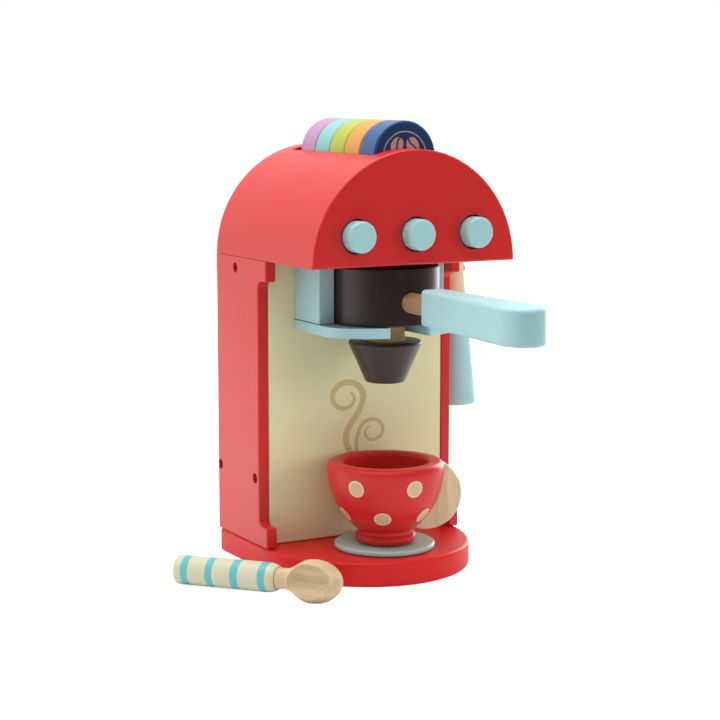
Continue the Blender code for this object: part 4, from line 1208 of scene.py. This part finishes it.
@dataclass(frozen=True)
class Portafilter:
    """Filter, neck, spout and handle, which slide out and turn."""

    turn: float = -1.2
    filter_radius: float = 34.7
    filter_low: float = 164.1
    filter_high: float = 200.8
    filter_rounding: float = 1.2
    neck_radius: float = 12.9
    neck_low: float = 144.0
    neck_high: float = 172.1
    play: float = 0.3
    spout_top: float = 152.0
    spout_bottom: float = 125.0
    spout_top_radius: float = 24.0
    spout_bottom_radius: float = 12.8
    spout_rounding: float = 1.6
    spout_low_share: float = 0.55
    spout_high_share: float = 1.25
    spout_top_steps: int = 7
    dowel_radius: float = 6.5
    dowel_start: float = 21.2
    dowel_end: float = 75.0
    axis_height: float = 179.3
    handle_start: float = 60.0
    handle_end: float = 179.6
    handle_nose: float = 18.2
    root_half: float = 8.2
    end_half: float = 14.2
    handle_thickness: float = 22.6
    root_rounding: float = 3.0
    handle_rounding: float = 2.6
    handle_steps: int = 6
    nose_steps: int = 48

    def _place(self, mesh: Mesh) -> Mesh:
        """Turn a piece a little about the brew axis, as it lies."""
        mesh.transform(Matrix.Rotation(math.radians(self.turn), 4, "Z"))
        return mesh

    def filter_profile(self) -> list[Point]:
        """Half section of the filter, with the neck's socket."""
        bore = self.neck_radius + self.play
        edge = self.filter_rounding
        wall = self.filter_radius - edge
        floor = self.neck_high + self.play
        profile = [(0.0, floor), (bore, floor), (bore, self.filter_low)]
        profile += arc((wall, self.filter_low + edge), edge, -90, 0, EDGE_STEPS)
        profile += arc((wall, self.filter_high - edge), edge, 0, 90, EDGE_STEPS)
        return profile + [(0.0, self.filter_high)]

    def spout_profile(self) -> list[Point]:
        """Half section of the spout, with the neck's socket."""
        bore = self.neck_radius + self.play
        edge = self.spout_rounding
        height = self.spout_top - self.spout_bottom
        lean = math.degrees(math.atan((self.spout_top_radius - self.spout_bottom_radius) / height))
        drop = edge * math.tan(math.radians(45 + lean / 2))
        low = (self.spout_bottom_radius - drop * self.spout_low_share, self.spout_bottom + edge)
        high = (self.spout_top_radius - edge * self.spout_high_share, self.spout_top - edge)
        profile = [(0.0, self.spout_bottom)]
        profile += arc(low, edge, -90, -lean, EDGE_STEPS)
        profile += arc(high, edge, -lean, 90, self.spout_top_steps)
        floor = self.neck_low - self.play
        return profile + [(bore, self.spout_top), (bore, floor), (0.0, floor)]

    def handle_outline(self) -> list[Point]:
        """Plan of the handle, wider towards its round end."""
        nose = self.handle_end - self.handle_nose
        points = [(self.root_half, -self.handle_start)]
        for x, y in arc((0, 0), 1.0, 0, -180, self.nose_steps):
            points.append((self.end_half * x, -nose + self.handle_nose * y))
        return points + [(-self.root_half, -self.handle_start)]

    def build_handle(self) -> None:
        """Saw the handle and round it, more so at its root."""
        half = self.handle_thickness / 2
        mesh = board(self.handle_outline(), "Z", self.axis_height - half, self.axis_height + half)
        corners = [
            edge for edge in mesh.edges
            if not is_level(edge) and edge.verts[0].co.y > -self.handle_start - WELD
        ]
        bmesh.ops.bevel(
            mesh, geom=corners, offset=self.root_rounding, segments=self.handle_steps, profile=0.5,
            affect="EDGES", material=-1,
        )
        soften(mesh, self.handle_rounding, self.handle_steps, is_level)
        ticket = Ticket("grip_handle", "portafilter", ("portafilter_handle",), "sky_wood")
        finish_piece(self._place(mesh), ticket, SKY_LONG.material())

    def build(self) -> None:
        """Turn the round pieces and shape the handle."""
        ticket = Ticket("filter_body", "portafilter", ("filter_cylinder",), "cocoa_wood")
        finish_piece(self._place(turned(self.filter_profile())), ticket, COCOA.material())
        ticket = Ticket("spout", "portafilter", ("spout_cone",), "cocoa_wood")
        finish_piece(self._place(turned(self.spout_profile())), ticket, COCOA.material())
        neck = peg(self.neck_radius, self.neck_low, self.neck_high)
        ticket = Ticket("neck", "portafilter_slide", ("neck_dowel",), "bare_beech")
        finish_piece(self._place(neck), ticket, BEECH.material())
        dowel = peg(self.dowel_radius, self.dowel_start, self.dowel_end)
        dowel = aimed(dowel, (0, -1, 0), (0, 0, self.axis_height))
        # The dowel's darker beech is painted shade
        ticket = Ticket("dowel", "portafilter", ("handle_dowel",), "bare_beech")
        finish_piece(self._place(dowel), ticket, BEECH_LONG_PAINTED_SHADE.material())
        self.build_handle()


@dataclass(frozen=True)
class Cup:
    """The turned cup with its round ear, and the hotplate under it."""

    plate_radius: float = 32.7
    plate_low: float = 16.3
    plate_high: float = 19.7
    plate_rounding: float = 1.2
    axis_y: float = -1.0
    bottom: float = 20.0
    height: float = 53.6
    radius: float = 38.2
    lip: float = 4.4
    mouth: float = 27.7
    mouth_rounding: float = 3.0
    waist: float = 18.2
    waist_height: float = 8.6
    foot: float = 20.0
    foot_rounding: float = 3.4
    foot_sweep: float = 62.0
    floor: float = 12.0
    rim_steps: int = 8
    lip_steps: int = 10
    basin_steps: int = 20
    bell_steps: int = 28
    ear_radius: float = 23.4
    ear_thickness: float = 8.6
    ear_reach: float = 26.2
    ear_height: float = 31.0
    ear_turn: float = -22.0
    ear_rounding: float = 1.2
    ear_bed: float = 4.2

    def bell(self, inset: float = 0.0) -> list[Point]:
        """The wall's curve from the waist to the widest ring."""
        widest = self.height - self.lip
        swell = self.radius - self.waist
        rise = widest - self.waist_height
        reach = (swell**2 + rise**2) / (2 * swell)
        lean = math.degrees(math.asin(rise / reach))
        return arc((self.radius - reach, widest), reach - inset, -lean, 0, self.bell_steps)

    def profile(self) -> list[Point]:
        """Half section: foot, waist, bell, thick lip and round basin."""
        foot, lip, inner = self.foot_rounding, self.lip, self.mouth_rounding
        profile = [(0.0, 0.0)]
        profile += arc((self.foot - foot, foot), foot, -90, self.foot_sweep, self.rim_steps)
        profile += self.bell()
        profile += arc((self.radius - lip, self.height - lip), lip, 0, 90, self.lip_steps)[1:]
        rim = self.height - inner
        profile += arc((self.mouth + inner, rim), inner, 90, 180, self.rim_steps)
        for x, y in arc((0, 0), 1.0, 0, -90, self.basin_steps)[1:-1]:
            profile.append((self.mouth * x, rim + (rim - self.floor) * y))
        return profile + [(0.0, self.floor)]

    def finish(self) -> SpottedPaint:
        """Red paint with two rows of pale spots."""
        rows = (SpotRow(6, -149.5, 37.4, 40.7), SpotRow(6, -123.0, 29.2, 20.3))
        return SpottedPaint(
            "cup_paint", colour=RED_COLOUR, shine=0.4, axis=(0.0, self.axis_y, self.bottom), rows=rows,
            spot=(0.64, 0.46, 0.27), rim=(0.74, 0.60, 0.43),
        )

    def build(self) -> None:
        """Turn the plate and the cup and let the ear into its wall."""
        plate = peg(self.plate_radius, self.plate_low, self.plate_high, self.plate_rounding)
        finish_piece(plate, Ticket("plate", "machine", ("hotplate",), "slate_wood"), SLATE.material())
        seat = Matrix.Translation((0, self.axis_y, self.bottom))
        bowl = turned(self.profile())
        bowl.transform(seat)
        finish_piece(bowl, Ticket("bowl", "cup", ("cup_bowl",), "red_wood"), self.finish().material())
        half = self.ear_thickness / 2
        disc = peg(self.ear_radius, -half, half, self.ear_rounding)
        disc = aimed(disc, (0, 1, 0), (self.ear_reach, 0, self.ear_height))
        bell = self.bell(self.ear_bed)
        core = [(0.0, -self.foot), (bell[0][0], -self.foot), *bell]
        core += [(self.radius - self.ear_bed, 2 * self.height), (0.0, 2 * self.height)]
        ear = carved(disc, [turned(core)])
        ear.transform(seat @ Matrix.Rotation(math.radians(self.ear_turn), 4, "Z"))
        # The ear's paler beech is a painted highlight
        finish_piece(ear, Ticket("ear", "cup", ("cup_ear",), "bare_beech"), BEECH_PALE_PAINTED_SHEEN.material())


@dataclass(frozen=True)
class SteamWand:
    """The wand on its pin, with the cap that holds it."""

    axis_x: float = 90.2
    axis_y: float = 62.2
    pivot: float = 189.0
    top: float = 202.5
    bottom: float = 94.7
    top_radius: float = 5.2
    pivot_radius: float = 6.3
    bottom_radius: float = 15.7
    rounding: float = 2.4
    flare: float = 5.0
    foot_steps: int = 8
    rim_steps: int = 6
    dip_level: float = 156.0
    bore: float = 3.3
    pin_radius: float = 3.0
    pin_seat: float = 66.5
    shoulder_radius: float = 5.5
    shoulder_start: float = 72.8
    shoulder_end: float = 83.0
    cap_bed: float = 93.6
    cap_start: float = 93.9
    cap_end: float = 96.5
    cap_seat: float = 1.2
    cap_play: float = 0.3
    cap_radius: float = 4.2
    cap_rounding: float = 0.6

    def cone_profile(self) -> list[Point]:
        """Half section of the wand, wide and round at its foot."""
        edge = self.rounding
        profile = [(0.0, self.bottom)]
        foot = (self.bottom_radius - edge, self.bottom + edge)
        profile += arc(foot, edge, -90, self.flare, self.foot_steps)
        profile += [(self.pivot_radius, self.pivot)]
        profile += arc((self.top_radius - edge, self.top - edge), edge, 0, 90, self.rim_steps)
        return profile + [(0.0, self.top)]

    def pin_profile(self) -> list[Point]:
        """Half section of the pin, with the shoulder that keeps the wand off the panel."""
        tip = self.cap_start + self.cap_seat
        return [
            (0.0, self.pin_seat), (self.pin_radius, self.pin_seat), (self.pin_radius, self.shoulder_start),
            (self.shoulder_radius, self.shoulder_start), (self.shoulder_radius, self.shoulder_end),
            (self.pin_radius, self.shoulder_end), (self.pin_radius, tip), (0.0, tip),
        ]

    def cap_profile(self) -> list[Point]:
        """Half section of the cap at the pin's end."""
        edge = self.cap_rounding
        profile = [(0.0, self.cap_start), (self.cap_radius, self.cap_start)]
        profile += arc((self.cap_radius - edge, self.cap_end - edge), edge, 0, 90, self.rim_steps)
        return profile + [(0.0, self.cap_end)]

    def finish(self) -> DippedBeech:
        """Beech lightened as a painted highlight, dipped in light blue paint."""
        return DippedBeech(
            "dipped_beech", dip=SKY_COLOUR, level=self.dip_level, light=BEECH_PALE_PAINTED_SHEEN.light, dark=BEECH_PALE_PAINTED_SHEEN.dark
        )

    def build(self) -> None:
        """Turn the wand, the pin and the cap."""
        mesh = aimed(turned(self.cone_profile()), (0, 0, 1), (self.axis_x, self.axis_y, 0))
        reach = self.bottom_radius
        hole = aimed(peg(self.bore, -reach, reach), (1, 0, 0), (self.axis_x, self.axis_y, self.pivot))
        place = (0, self.axis_y, self.pivot)
        bed = peg(self.cap_radius + self.cap_play, self.cap_bed, self.axis_x + reach)
        cutters = [hole, aimed(bed, (1, 0, 0), place)]
        ticket = Ticket("wand_cone", "wand", ("steam_wand",), "bare_beech")
        finish_piece(carved(mesh, cutters), ticket, self.finish().material())
        ticket = Ticket("pin", "machine", ("wand_pin",), "bare_beech")
        finish_piece(aimed(turned(self.pin_profile()), (1, 0, 0), place), ticket, BEECH_ACROSS.material())
        ticket = Ticket("pin_cap", "machine", ("wand_cap",), "bare_beech")
        finish_piece(aimed(turned(self.cap_profile()), (1, 0, 0), place), ticket, BEECH_ACROSS.material())


@dataclass(frozen=True)
class Spoon:
    """The turned spoon that lies beside the machine."""

    end: Triple = (-131.1, 31.8, 9.4)
    turn: float = -55.2
    grip_radius: float = 9.36
    grip_length: float = 71.2
    dome: float = 1.0
    shoulder_length: float = 8.5
    shoulder_drop: float = 2.6
    neck_radius: float = 6.6
    neck_length: float = 5.5
    bowl_place: float = 96.0
    bowl_radius: float = 13.6
    bowl_nose: float = 19.0
    flat: float = 1.0
    end_steps: int = 12
    bowl_steps: int = 20
    rim_rounding: float = 0.5
    rim_steps: int = 3
    rim_clearance: float = 1.0
    scoop_steps: tuple[int, int] = (72, 48)
    scoop: Triple = (6.2, 10.75, 15.0)
    scoop_offset: float = 8.8
    scoop_roll: float = 80.0
    gap: float = 0.3
    bands: tuple[Point, ...] = ((4.9, 10.1), (22.9, 28.0), (40.9, 46.4), (60.6, 65.7))

    def frame(self) -> Matrix:
        """Where the spoon's axis lies, from the end of its grip."""
        tilt = math.asin((self.bowl_radius - self.flat - self.end[2]) / self.bowl_place)
        level = Matrix.Rotation(math.pi / 2 - tilt, 4, "Y")
        return Matrix.Translation(self.end) @ Matrix.Rotation(math.radians(self.turn), 4, "Z") @ level

    def grip_profile(self) -> list[Point]:
        """Half section of the grip with its flat end and its long shoulder."""
        end = arc((0, 0), 1.0, -90, 0, self.end_steps)
        profile = [(self.grip_radius * x, self.dome * y) for x, y in end]
        inner = self.grip_radius - self.shoulder_drop
        start = self.grip_length - self.shoulder_length
        for x, y in arc((0, 0), 1.0, 0, 90, self.end_steps):
            profile.append((inner + self.shoulder_drop * x, start + self.shoulder_length * y))
        return profile + [(0.0, self.grip_length)]

    def bowl_profile(self) -> list[Point]:
        """Half section of the neck and the egg."""
        start = self.grip_length + self.gap
        neck_end = start + self.neck_length
        swell = self.bowl_place - neck_end
        gain = self.bowl_radius - self.neck_radius
        profile = [(0.0, start), (self.neck_radius, start), (self.neck_radius, neck_end)]
        for step in range(1, self.bowl_steps + 1):
            share = step / self.bowl_steps
            wave = (1 - math.cos(math.pi * share)) / 2
            rise = wave + share * (math.sin(math.pi / 2 * share) - wave)
            profile.append((self.neck_radius + gain * rise, neck_end + swell * share))
        for x, y in arc((0, 0), 1.0, 0, 90, self.bowl_steps)[1:-1]:
            profile.append((self.bowl_radius * x, self.bowl_place + self.bowl_nose * y))
        return profile + [(0.0, self.bowl_place + self.bowl_nose)]

    def scoop_mesh(self) -> Mesh:
        """The egg that hollows the bowl."""
        mesh = bmesh.new()
        around, along = self.scoop_steps
        bmesh.ops.create_uvsphere(mesh, u_segments=around, v_segments=along, radius=1.0)
        bmesh.ops.scale(mesh, vec=self.scoop, verts=mesh.verts)
        bmesh.ops.translate(mesh, vec=(-self.scoop_offset, 0, self.bowl_place), verts=mesh.verts)
        mesh.transform(Matrix.Rotation(math.radians(self.scoop_roll), 4, "Z"))
        return mesh

    def finish(self) -> BandedPaint:
        """Cream paint with four light blue bands."""
        axis = tuple((self.frame().to_3x3() @ Vector((0, 0, 1))).normalized())
        return BandedPaint(
            "spoon_paint", colour=(0.63, 0.61, 0.42), start=self.end, axis=axis, bands=self.bands,
            band_colour=(0.115, 0.48, 0.53), grain=Grain.X,
        )

    def wood(self) -> Beech:
        """Pale beech whose fibres run along the spoon."""
        return Beech(
            "beech_spoon", grain=Grain.X, grain_turn=-self.turn,
            light=(0.70, 0.55, 0.34), dark=(0.53, 0.37, 0.20),
        )

    def _is_rim(self, edge: Edge) -> bool:
        """Whether an edge lies past the neck, where only the hollow's rim is hard."""
        neck_end = self.grip_length + self.neck_length + self.gap
        return edge.verts[0].co.z > neck_end + self.rim_clearance

    def table(self, lie: Matrix) -> Mesh:
        """The block that takes off what would be under the floor.

        Args:
            lie: Where the spoon's axis lies.

        Returns:
            The block under the bowl, with its top on the floor.
        """
        reach = self.bowl_nose * 2
        middle = lie @ Vector((0, 0, self.bowl_place))
        return block((middle.x - reach, middle.y - reach, -reach), (middle.x + reach, middle.y + reach, 0.0))

    def build(self) -> None:
        """Turn the grip and the bowl, scoop the bowl and lay them down."""
        lie = self.frame()
        grip = turned(self.grip_profile())
        grip.transform(lie)
        finish_piece(grip, Ticket("grip", "spoon", ("spoon_grip",), "cream_wood"), self.finish().material())
        bowl = carved(turned(self.bowl_profile()), [self.scoop_mesh()])
        soften(bowl, self.rim_rounding, self.rim_steps, self._is_rim)
        bowl.transform(lie)
        ticket = Ticket("scoop", "spoon", ("spoon_bowl",), "bare_beech")
        finish_piece(carved(bowl, [self.table(lie)]), ticket, self.wood().material())


@dataclass(frozen=True)
class ScrewSet:
    """The socket screws in the two side panels."""

    outer: float = 72.5
    sink: float = 2.0
    head_radius: float = 3.1
    head_length: float = 2.2
    shank_radius: float = 1.3
    length: float = 18.4
    labels: tuple[str, ...] = ("top", "back", "front")
    socket_radius: float = 1.75
    socket_depth: float = 1.4
    rounding: float = 0.5
    rim_steps: int = 4
    turn_steps: int = 48

    def screw(self) -> Mesh:
        """A screw along -Z with a hexagon socket in its head."""
        edge = self.rounding
        profile = [(0.0, -self.length), (self.shank_radius, self.shank_radius - self.length)]
        profile += [(self.shank_radius, -self.head_length), (self.head_radius, -self.head_length)]
        profile += arc((self.head_radius - edge, -edge), edge, 0, 90, self.rim_steps) + [(0.0, 0.0)]
        hexagon = arc((0, 0), self.socket_radius, 0, 300, 5)
        key = board(hexagon, "Z", -self.socket_depth, OVERRUN)
        return carved(turned(profile, self.turn_steps), [key])

    def build(self, panels: SidePanels) -> None:
        """Drive one screw into each sink of both panels.

        Args:
            panels: The panels, whose screw places are used.
        """
        for side, sign in SIDES:
            for label, (y, z) in zip(self.labels, panels.screw_places):
                mesh = aimed(self.screw(), (sign, 0, 0), (sign * (self.outer - self.sink), y, z))
                name = f"screw_{label}_{side}"
                finish_piece(mesh, Ticket(name + "_head", "machine", (name,), "steel"), STEEL.material())


@dataclass(frozen=True)
class Curl:
    """A printed stroke that rises as a stem and winds into a spiral.

    The stem runs from its foot up.  Sizes are the spiral's outer and inner
    radius, halves the stroke's half width at its foot and at its tip, start the
    angle at which the stem joins the spiral and sweep how far it winds.
    """

    name: str
    centre: Point
    sizes: Point
    start: float
    sweep: float
    stem: tuple[Point, ...]
    halves: Point
    steps: int = 22
    squeeze: float = 0.86
    closing: float = 1.2
    thinning: float = 2.0

    def route(self) -> list[Triple]:
        """X, Z and half width along the stroke."""
        route = list(self.stem)
        for step in range(self.steps + 1):
            share = step / self.steps
            angle = math.radians(self.start + self.sweep * share)
            radius = self.sizes[0] + (self.sizes[1] - self.sizes[0]) * share**self.closing
            x = self.centre[0] + radius * math.cos(angle)
            route.append((x, self.centre[1] + radius * self.squeeze * math.sin(angle)))
        last = len(route) - 1
        gain = self.halves[1] - self.halves[0]
        return [
            (x, z, self.halves[0] + gain * (index / last) ** self.thinning)
            for index, (x, z) in enumerate(route)
        ]


@dataclass(frozen=True)
class SteamPrint:
    """Two steam curls printed on the front wall above the cup."""

    wall: float = 37.9
    film: float = 0.12
    order: int = 4
    steps_along: int = 10
    steps_round: int = 3
    curls: tuple[Curl, ...] = (
        Curl(
            "steam_large", (-8.2, 109.4), (13.6, 5.2), -15, 420,
            ((-2.0, 68.0), (-6.5, 74.0), (-9.6, 82.0), (-6.0, 90.5), (1.0, 98.0)), (2.35, 0.8),
        ),
        Curl(
            "steam_small", (11.8, 85.4), (10.2, 4.4), 165, -410,
            ((1.5, 68.0), (-0.8, 73.5), (-0.6, 80.0)), (1.35, 0.6),
        ),
    )

    def ribbon(self, name: str, points: Sequence[Triple]) -> Mesh:
        """Lay a flat stroke along a route.

        Args:
            name: Name of the curve that is made on the way.
            points: X, Z and half width along the stroke.

        Returns:
            The stroke as a thin closed mesh in front of the wall.
        """
        curve = bpy.data.curves.new(name, "CURVE")
        curve.dimensions = "3D"
        curve.resolution_u = self.steps_along
        curve.bevel_depth = 1.0
        curve.bevel_resolution = self.steps_round
        curve.use_fill_caps = True
        spline = curve.splines.new("NURBS")
        spline.points.add(len(points) - 1)
        spline.order_u = self.order
        spline.use_endpoint_u = True
        for knot, (x, z, half) in zip(spline.points, points):
            knot.co = (x, 0.0, z, 1.0)
            knot.radius = half
        obj = bpy.data.objects.new(name, curve)
        bpy.context.scene.collection.objects.link(obj)
        bpy.context.view_layer.update()
        data = bpy.data.meshes.new_from_object(obj.evaluated_get(bpy.context.evaluated_depsgraph_get()))
        mesh = bmesh.new()
        mesh.from_mesh(data)
        bpy.data.objects.remove(obj)
        bpy.data.meshes.remove(data)
        bmesh.ops.scale(mesh, vec=(1.0, self.film / 2, 1.0), verts=mesh.verts)
        bmesh.ops.translate(mesh, vec=(0.0, self.wall, 0.0), verts=mesh.verts)
        return mesh

    def build(self) -> None:
        """Print both curls."""
        for curl in self.curls:
            mesh = self.ribbon(curl.name + "_route", curl.route())
            finish_piece(mesh, Ticket(curl.name, "machine", (), "cream_wood"), STEAM.material())


class PlainBoards:
    """Solids whose own shape is right, given the scene's finishes."""

    FINISHES: Mapping[str, Finish] = {
        "front_wall": CREAM,
        "back_panel": RED,
        "top_rail": BEECH_ACROSS,
        "bottom_rail": BEECH_ACROSS,
        "hood_floor": RED_FLAT,
        # the trough's darker beech is the dowel's painted shade
        "pod_trough": BEECH_LONG_PAINTED_SHADE,
        "button_rail": BEECH_ACROSS,
        "screw_base_left": STEEL,
        "screw_base_right": STEEL,
        "screw_hood_left": STEEL,
        "screw_hood_right": STEEL,
        "screw_block_left": STEEL,
        "screw_block_right": STEEL,
    }

    def dress(self, nodes: Mapping[str, bpy.types.Object]) -> None:
        """Swap each solid's material for its finish.

        Args:
            nodes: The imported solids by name.
        """
        for name, finish in self.FINISHES.items():
            for slot in nodes[name].material_slots:
                slot.material = finish.material()
            LOG.info("%s: dressed in %s", name, finish.name)


# The studio


@dataclass(frozen=True)
class SoftLight:
    """A rectangular soft light that faces the toy."""

    name: str
    place: Triple
    target: Triple
    width: float
    height: float
    power: float
    in_gloss: bool = True

    def build(self) -> None:
        """Hang the light."""
        data = bpy.data.lights.new(self.name, "AREA")
        data.shape = "RECTANGLE"
        data.size = self.width
        data.size_y = self.height
        data.energy = self.power
        lamp = bpy.data.objects.new(self.name, data)
        lamp.location = self.place
        lamp.visible_glossy = self.in_gloss
        facing = Vector(self.target) - Vector(self.place)
        lamp.rotation_mode = "QUATERNION"
        lamp.rotation_quaternion = facing.to_track_quat("-Z", "Y")
        bpy.context.scene.collection.objects.link(lamp)


@dataclass(frozen=True)
class Studio:
    """Camera, floor, backdrop, world and lights of a plain pale product picture."""

    camera_place: Triple = (-608.6, -1076.1, 316.5)
    azimuth: float = -28.87
    elevation: float = 8.18
    roll: float = 0.06
    lens: float = 96.83
    shift: float = -0.00593
    sensor: float = 36.0
    seen_range: Point = (0.05, 50.0)
    floor_colour: Triple = (0.86, 0.86, 0.86)
    floor_glow: float = 0.80
    floor_shine: float = 0.5
    floor_fade: Point = (-0.1, 0.5)
    floor_drop: float = 0.0002
    floor_front: float = -0.36
    floor_size: Point = (6.0, 4.0)
    backdrop_glow: float = 1.06
    backdrop_y: float = 1.9
    backdrop_size: Point = (7.0, 3.2)
    world_fill: float = 0.44
    world_shine: float = 0.14
    lights: tuple[SoftLight, ...] = (
        SoftLight("top_light", (-0.15, 0.0, 1.6), (0.0, 0.02, 0.15), 1.5, 1.5, 26.5),
        SoftLight("front_right_light", (1.5, -1.3, 0.45), (0.0, 0.0, 0.12), 0.9, 0.9, 10.5, in_gloss=False),
        SoftLight("left_light", (-1.9, 0.3, 0.6), (0.0, 0.0, 0.13), 1.2, 1.2, 4.5),
        SoftLight("right_light", (1.6, 0.9, 0.5), (0.0, 0.0, 0.12), 0.9, 1.1, 18.0),
    )

    def build_camera(self) -> None:
        """Stand the camera where the picture was taken from."""
        data = bpy.data.cameras.new("camera")
        data.sensor_width = self.sensor
        data.lens = self.lens
        data.shift_x = self.shift
        data.clip_start, data.clip_end = self.seen_range
        camera = bpy.data.objects.new("camera", data)
        around, up = math.radians(self.azimuth), math.radians(self.elevation)
        back = Vector((math.sin(around) * math.cos(up), -math.cos(around) * math.cos(up), math.sin(up)))
        turn = (-back).to_track_quat("-Z", "Y").to_matrix() @ Matrix.Rotation(math.radians(self.roll), 3, "Z")
        camera.matrix_world = Matrix.Translation(Vector(self.camera_place) * MM) @ turn.to_4x4()
        bpy.context.scene.collection.objects.link(camera)
        bpy.context.scene.camera = camera

    def _sheet(self, name: str, size: Point, place: Matrix) -> tuple[bpy.types.Object, Graph]:
        """Lay out a flat white sheet of the studio.

        Args:
            name: The sheet's name.
            size: Its width and depth in metres.
            place: Where its middle goes and how it is turned.

        Returns:
            The sheet and the empty graph of its material.
        """
        mesh = bmesh.new()
        bmesh.ops.create_grid(mesh, x_segments=1, y_segments=1, size=0.5)
        bmesh.ops.scale(mesh, vec=(size[0], size[1], 1.0), verts=mesh.verts)
        mesh.transform(place)
        data = bpy.data.meshes.new(name)
        mesh.to_mesh(data)
        mesh.free()
        sheet = bpy.data.objects.new(name, data)
        bpy.context.scene.collection.objects.link(sheet)
        material = bpy.data.materials.new(name + "_white")
        material.use_nodes = True
        material.node_tree.nodes.clear()
        data.materials.append(material)
        return sheet, Graph(material.node_tree)

    def build_floor(self) -> None:
        """Lay a white floor that keeps only the toy's soft contact shadow."""
        middle = Matrix.Translation((0.0, self.floor_front + self.floor_size[1] / 2, -self.floor_drop))
        _, graph = self._sheet("floor", self.floor_size, middle)
        paths = graph.node("ShaderNodeLightPath").outputs
        place = graph.node("ShaderNodeTexCoord").outputs["Object"]
        depth = graph.node("ShaderNodeSeparateXYZ", {0: place}).outputs["Y"]
        shine = graph.math("MULTIPLY", graph.step(depth, *self.floor_fade), self.floor_shine)
        shine = graph.math("MULTIPLY", shine, paths["Is Glossy Ray"])
        strength = graph.math("MULTIPLY_ADD", paths["Is Camera Ray"], self.floor_glow, shine)
        matt = graph.node("ShaderNodeBsdfDiffuse", {"Color": opaque(self.floor_colour)})
        glow = graph.node("ShaderNodeEmission", {"Strength": strength})
        both = graph.node("ShaderNodeAddShader", {0: matt.outputs[0], 1: glow.outputs[0]})
        graph.node("ShaderNodeOutputMaterial", {"Surface": both.outputs[0]})

    def build_backdrop(self) -> None:
        """Stand a bright sheet behind the toy, which its edges reflect."""
        turn = Matrix.Rotation(math.pi / 2, 4, "X")
        place = Matrix.Translation((0.0, self.backdrop_y, self.backdrop_size[1] / 2)) @ turn
        _, graph = self._sheet("backdrop", self.backdrop_size, place)
        seen = graph.node("ShaderNodeLightPath").outputs["Is Camera Ray"]
        strength = graph.math("MULTIPLY_ADD", seen, 1.0 - self.backdrop_glow, self.backdrop_glow)
        glow = graph.node("ShaderNodeEmission", {"Strength": strength})
        graph.node("ShaderNodeOutputMaterial", {"Surface": glow.outputs[0]})

    def build_world(self) -> None:
        """White where the camera looks, a soft fill, and dim in the gloss, as a room is."""
        world = bpy.data.worlds.new("studio")
        bpy.context.scene.world = world
        world.use_nodes = True
        graph = Graph(world.node_tree)
        paths = graph.node("ShaderNodeLightPath").outputs
        dimming = self.world_shine - self.world_fill
        fill = graph.math("MULTIPLY_ADD", paths["Is Glossy Ray"], dimming, self.world_fill)
        strength = graph.math("MULTIPLY_ADD", paths["Is Camera Ray"], 1.0 - self.world_fill, fill)
        white = opaque((1.0, 1.0, 1.0))
        graph.feed(graph.tree.nodes["Background"], {"Color": white, "Strength": strength})

    def build(self) -> None:
        """Set up the whole studio."""
        bpy.context.scene.view_settings.view_transform = "Standard"
        self.build_camera()
        self.build_floor()
        self.build_backdrop()
        self.build_world()
        for light in self.lights:
            light.build()


def main() -> None:
    """Build the toy from its base up, dress it and light it."""
    logging.basicConfig(level=logging.INFO, format="%(message)s")
    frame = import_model()
    PlainBoards().dress(frame["nodes"])
    panels = SidePanels()
    BaseBoard().build()
    panels.build()
    ScrewSet().build(panels)
    SteamPrint().build()
    HoodShell().build()
    ButtonRow().build()
    ButtonSprings().build(frame["nodes"])
    PodRow().build()
    GroupHead().build()
    Portafilter().build()
    Cup().build()
    SteamWand().build()
    Spoon().build()
    Studio().build()


if __name__ == "__main__":
    main()
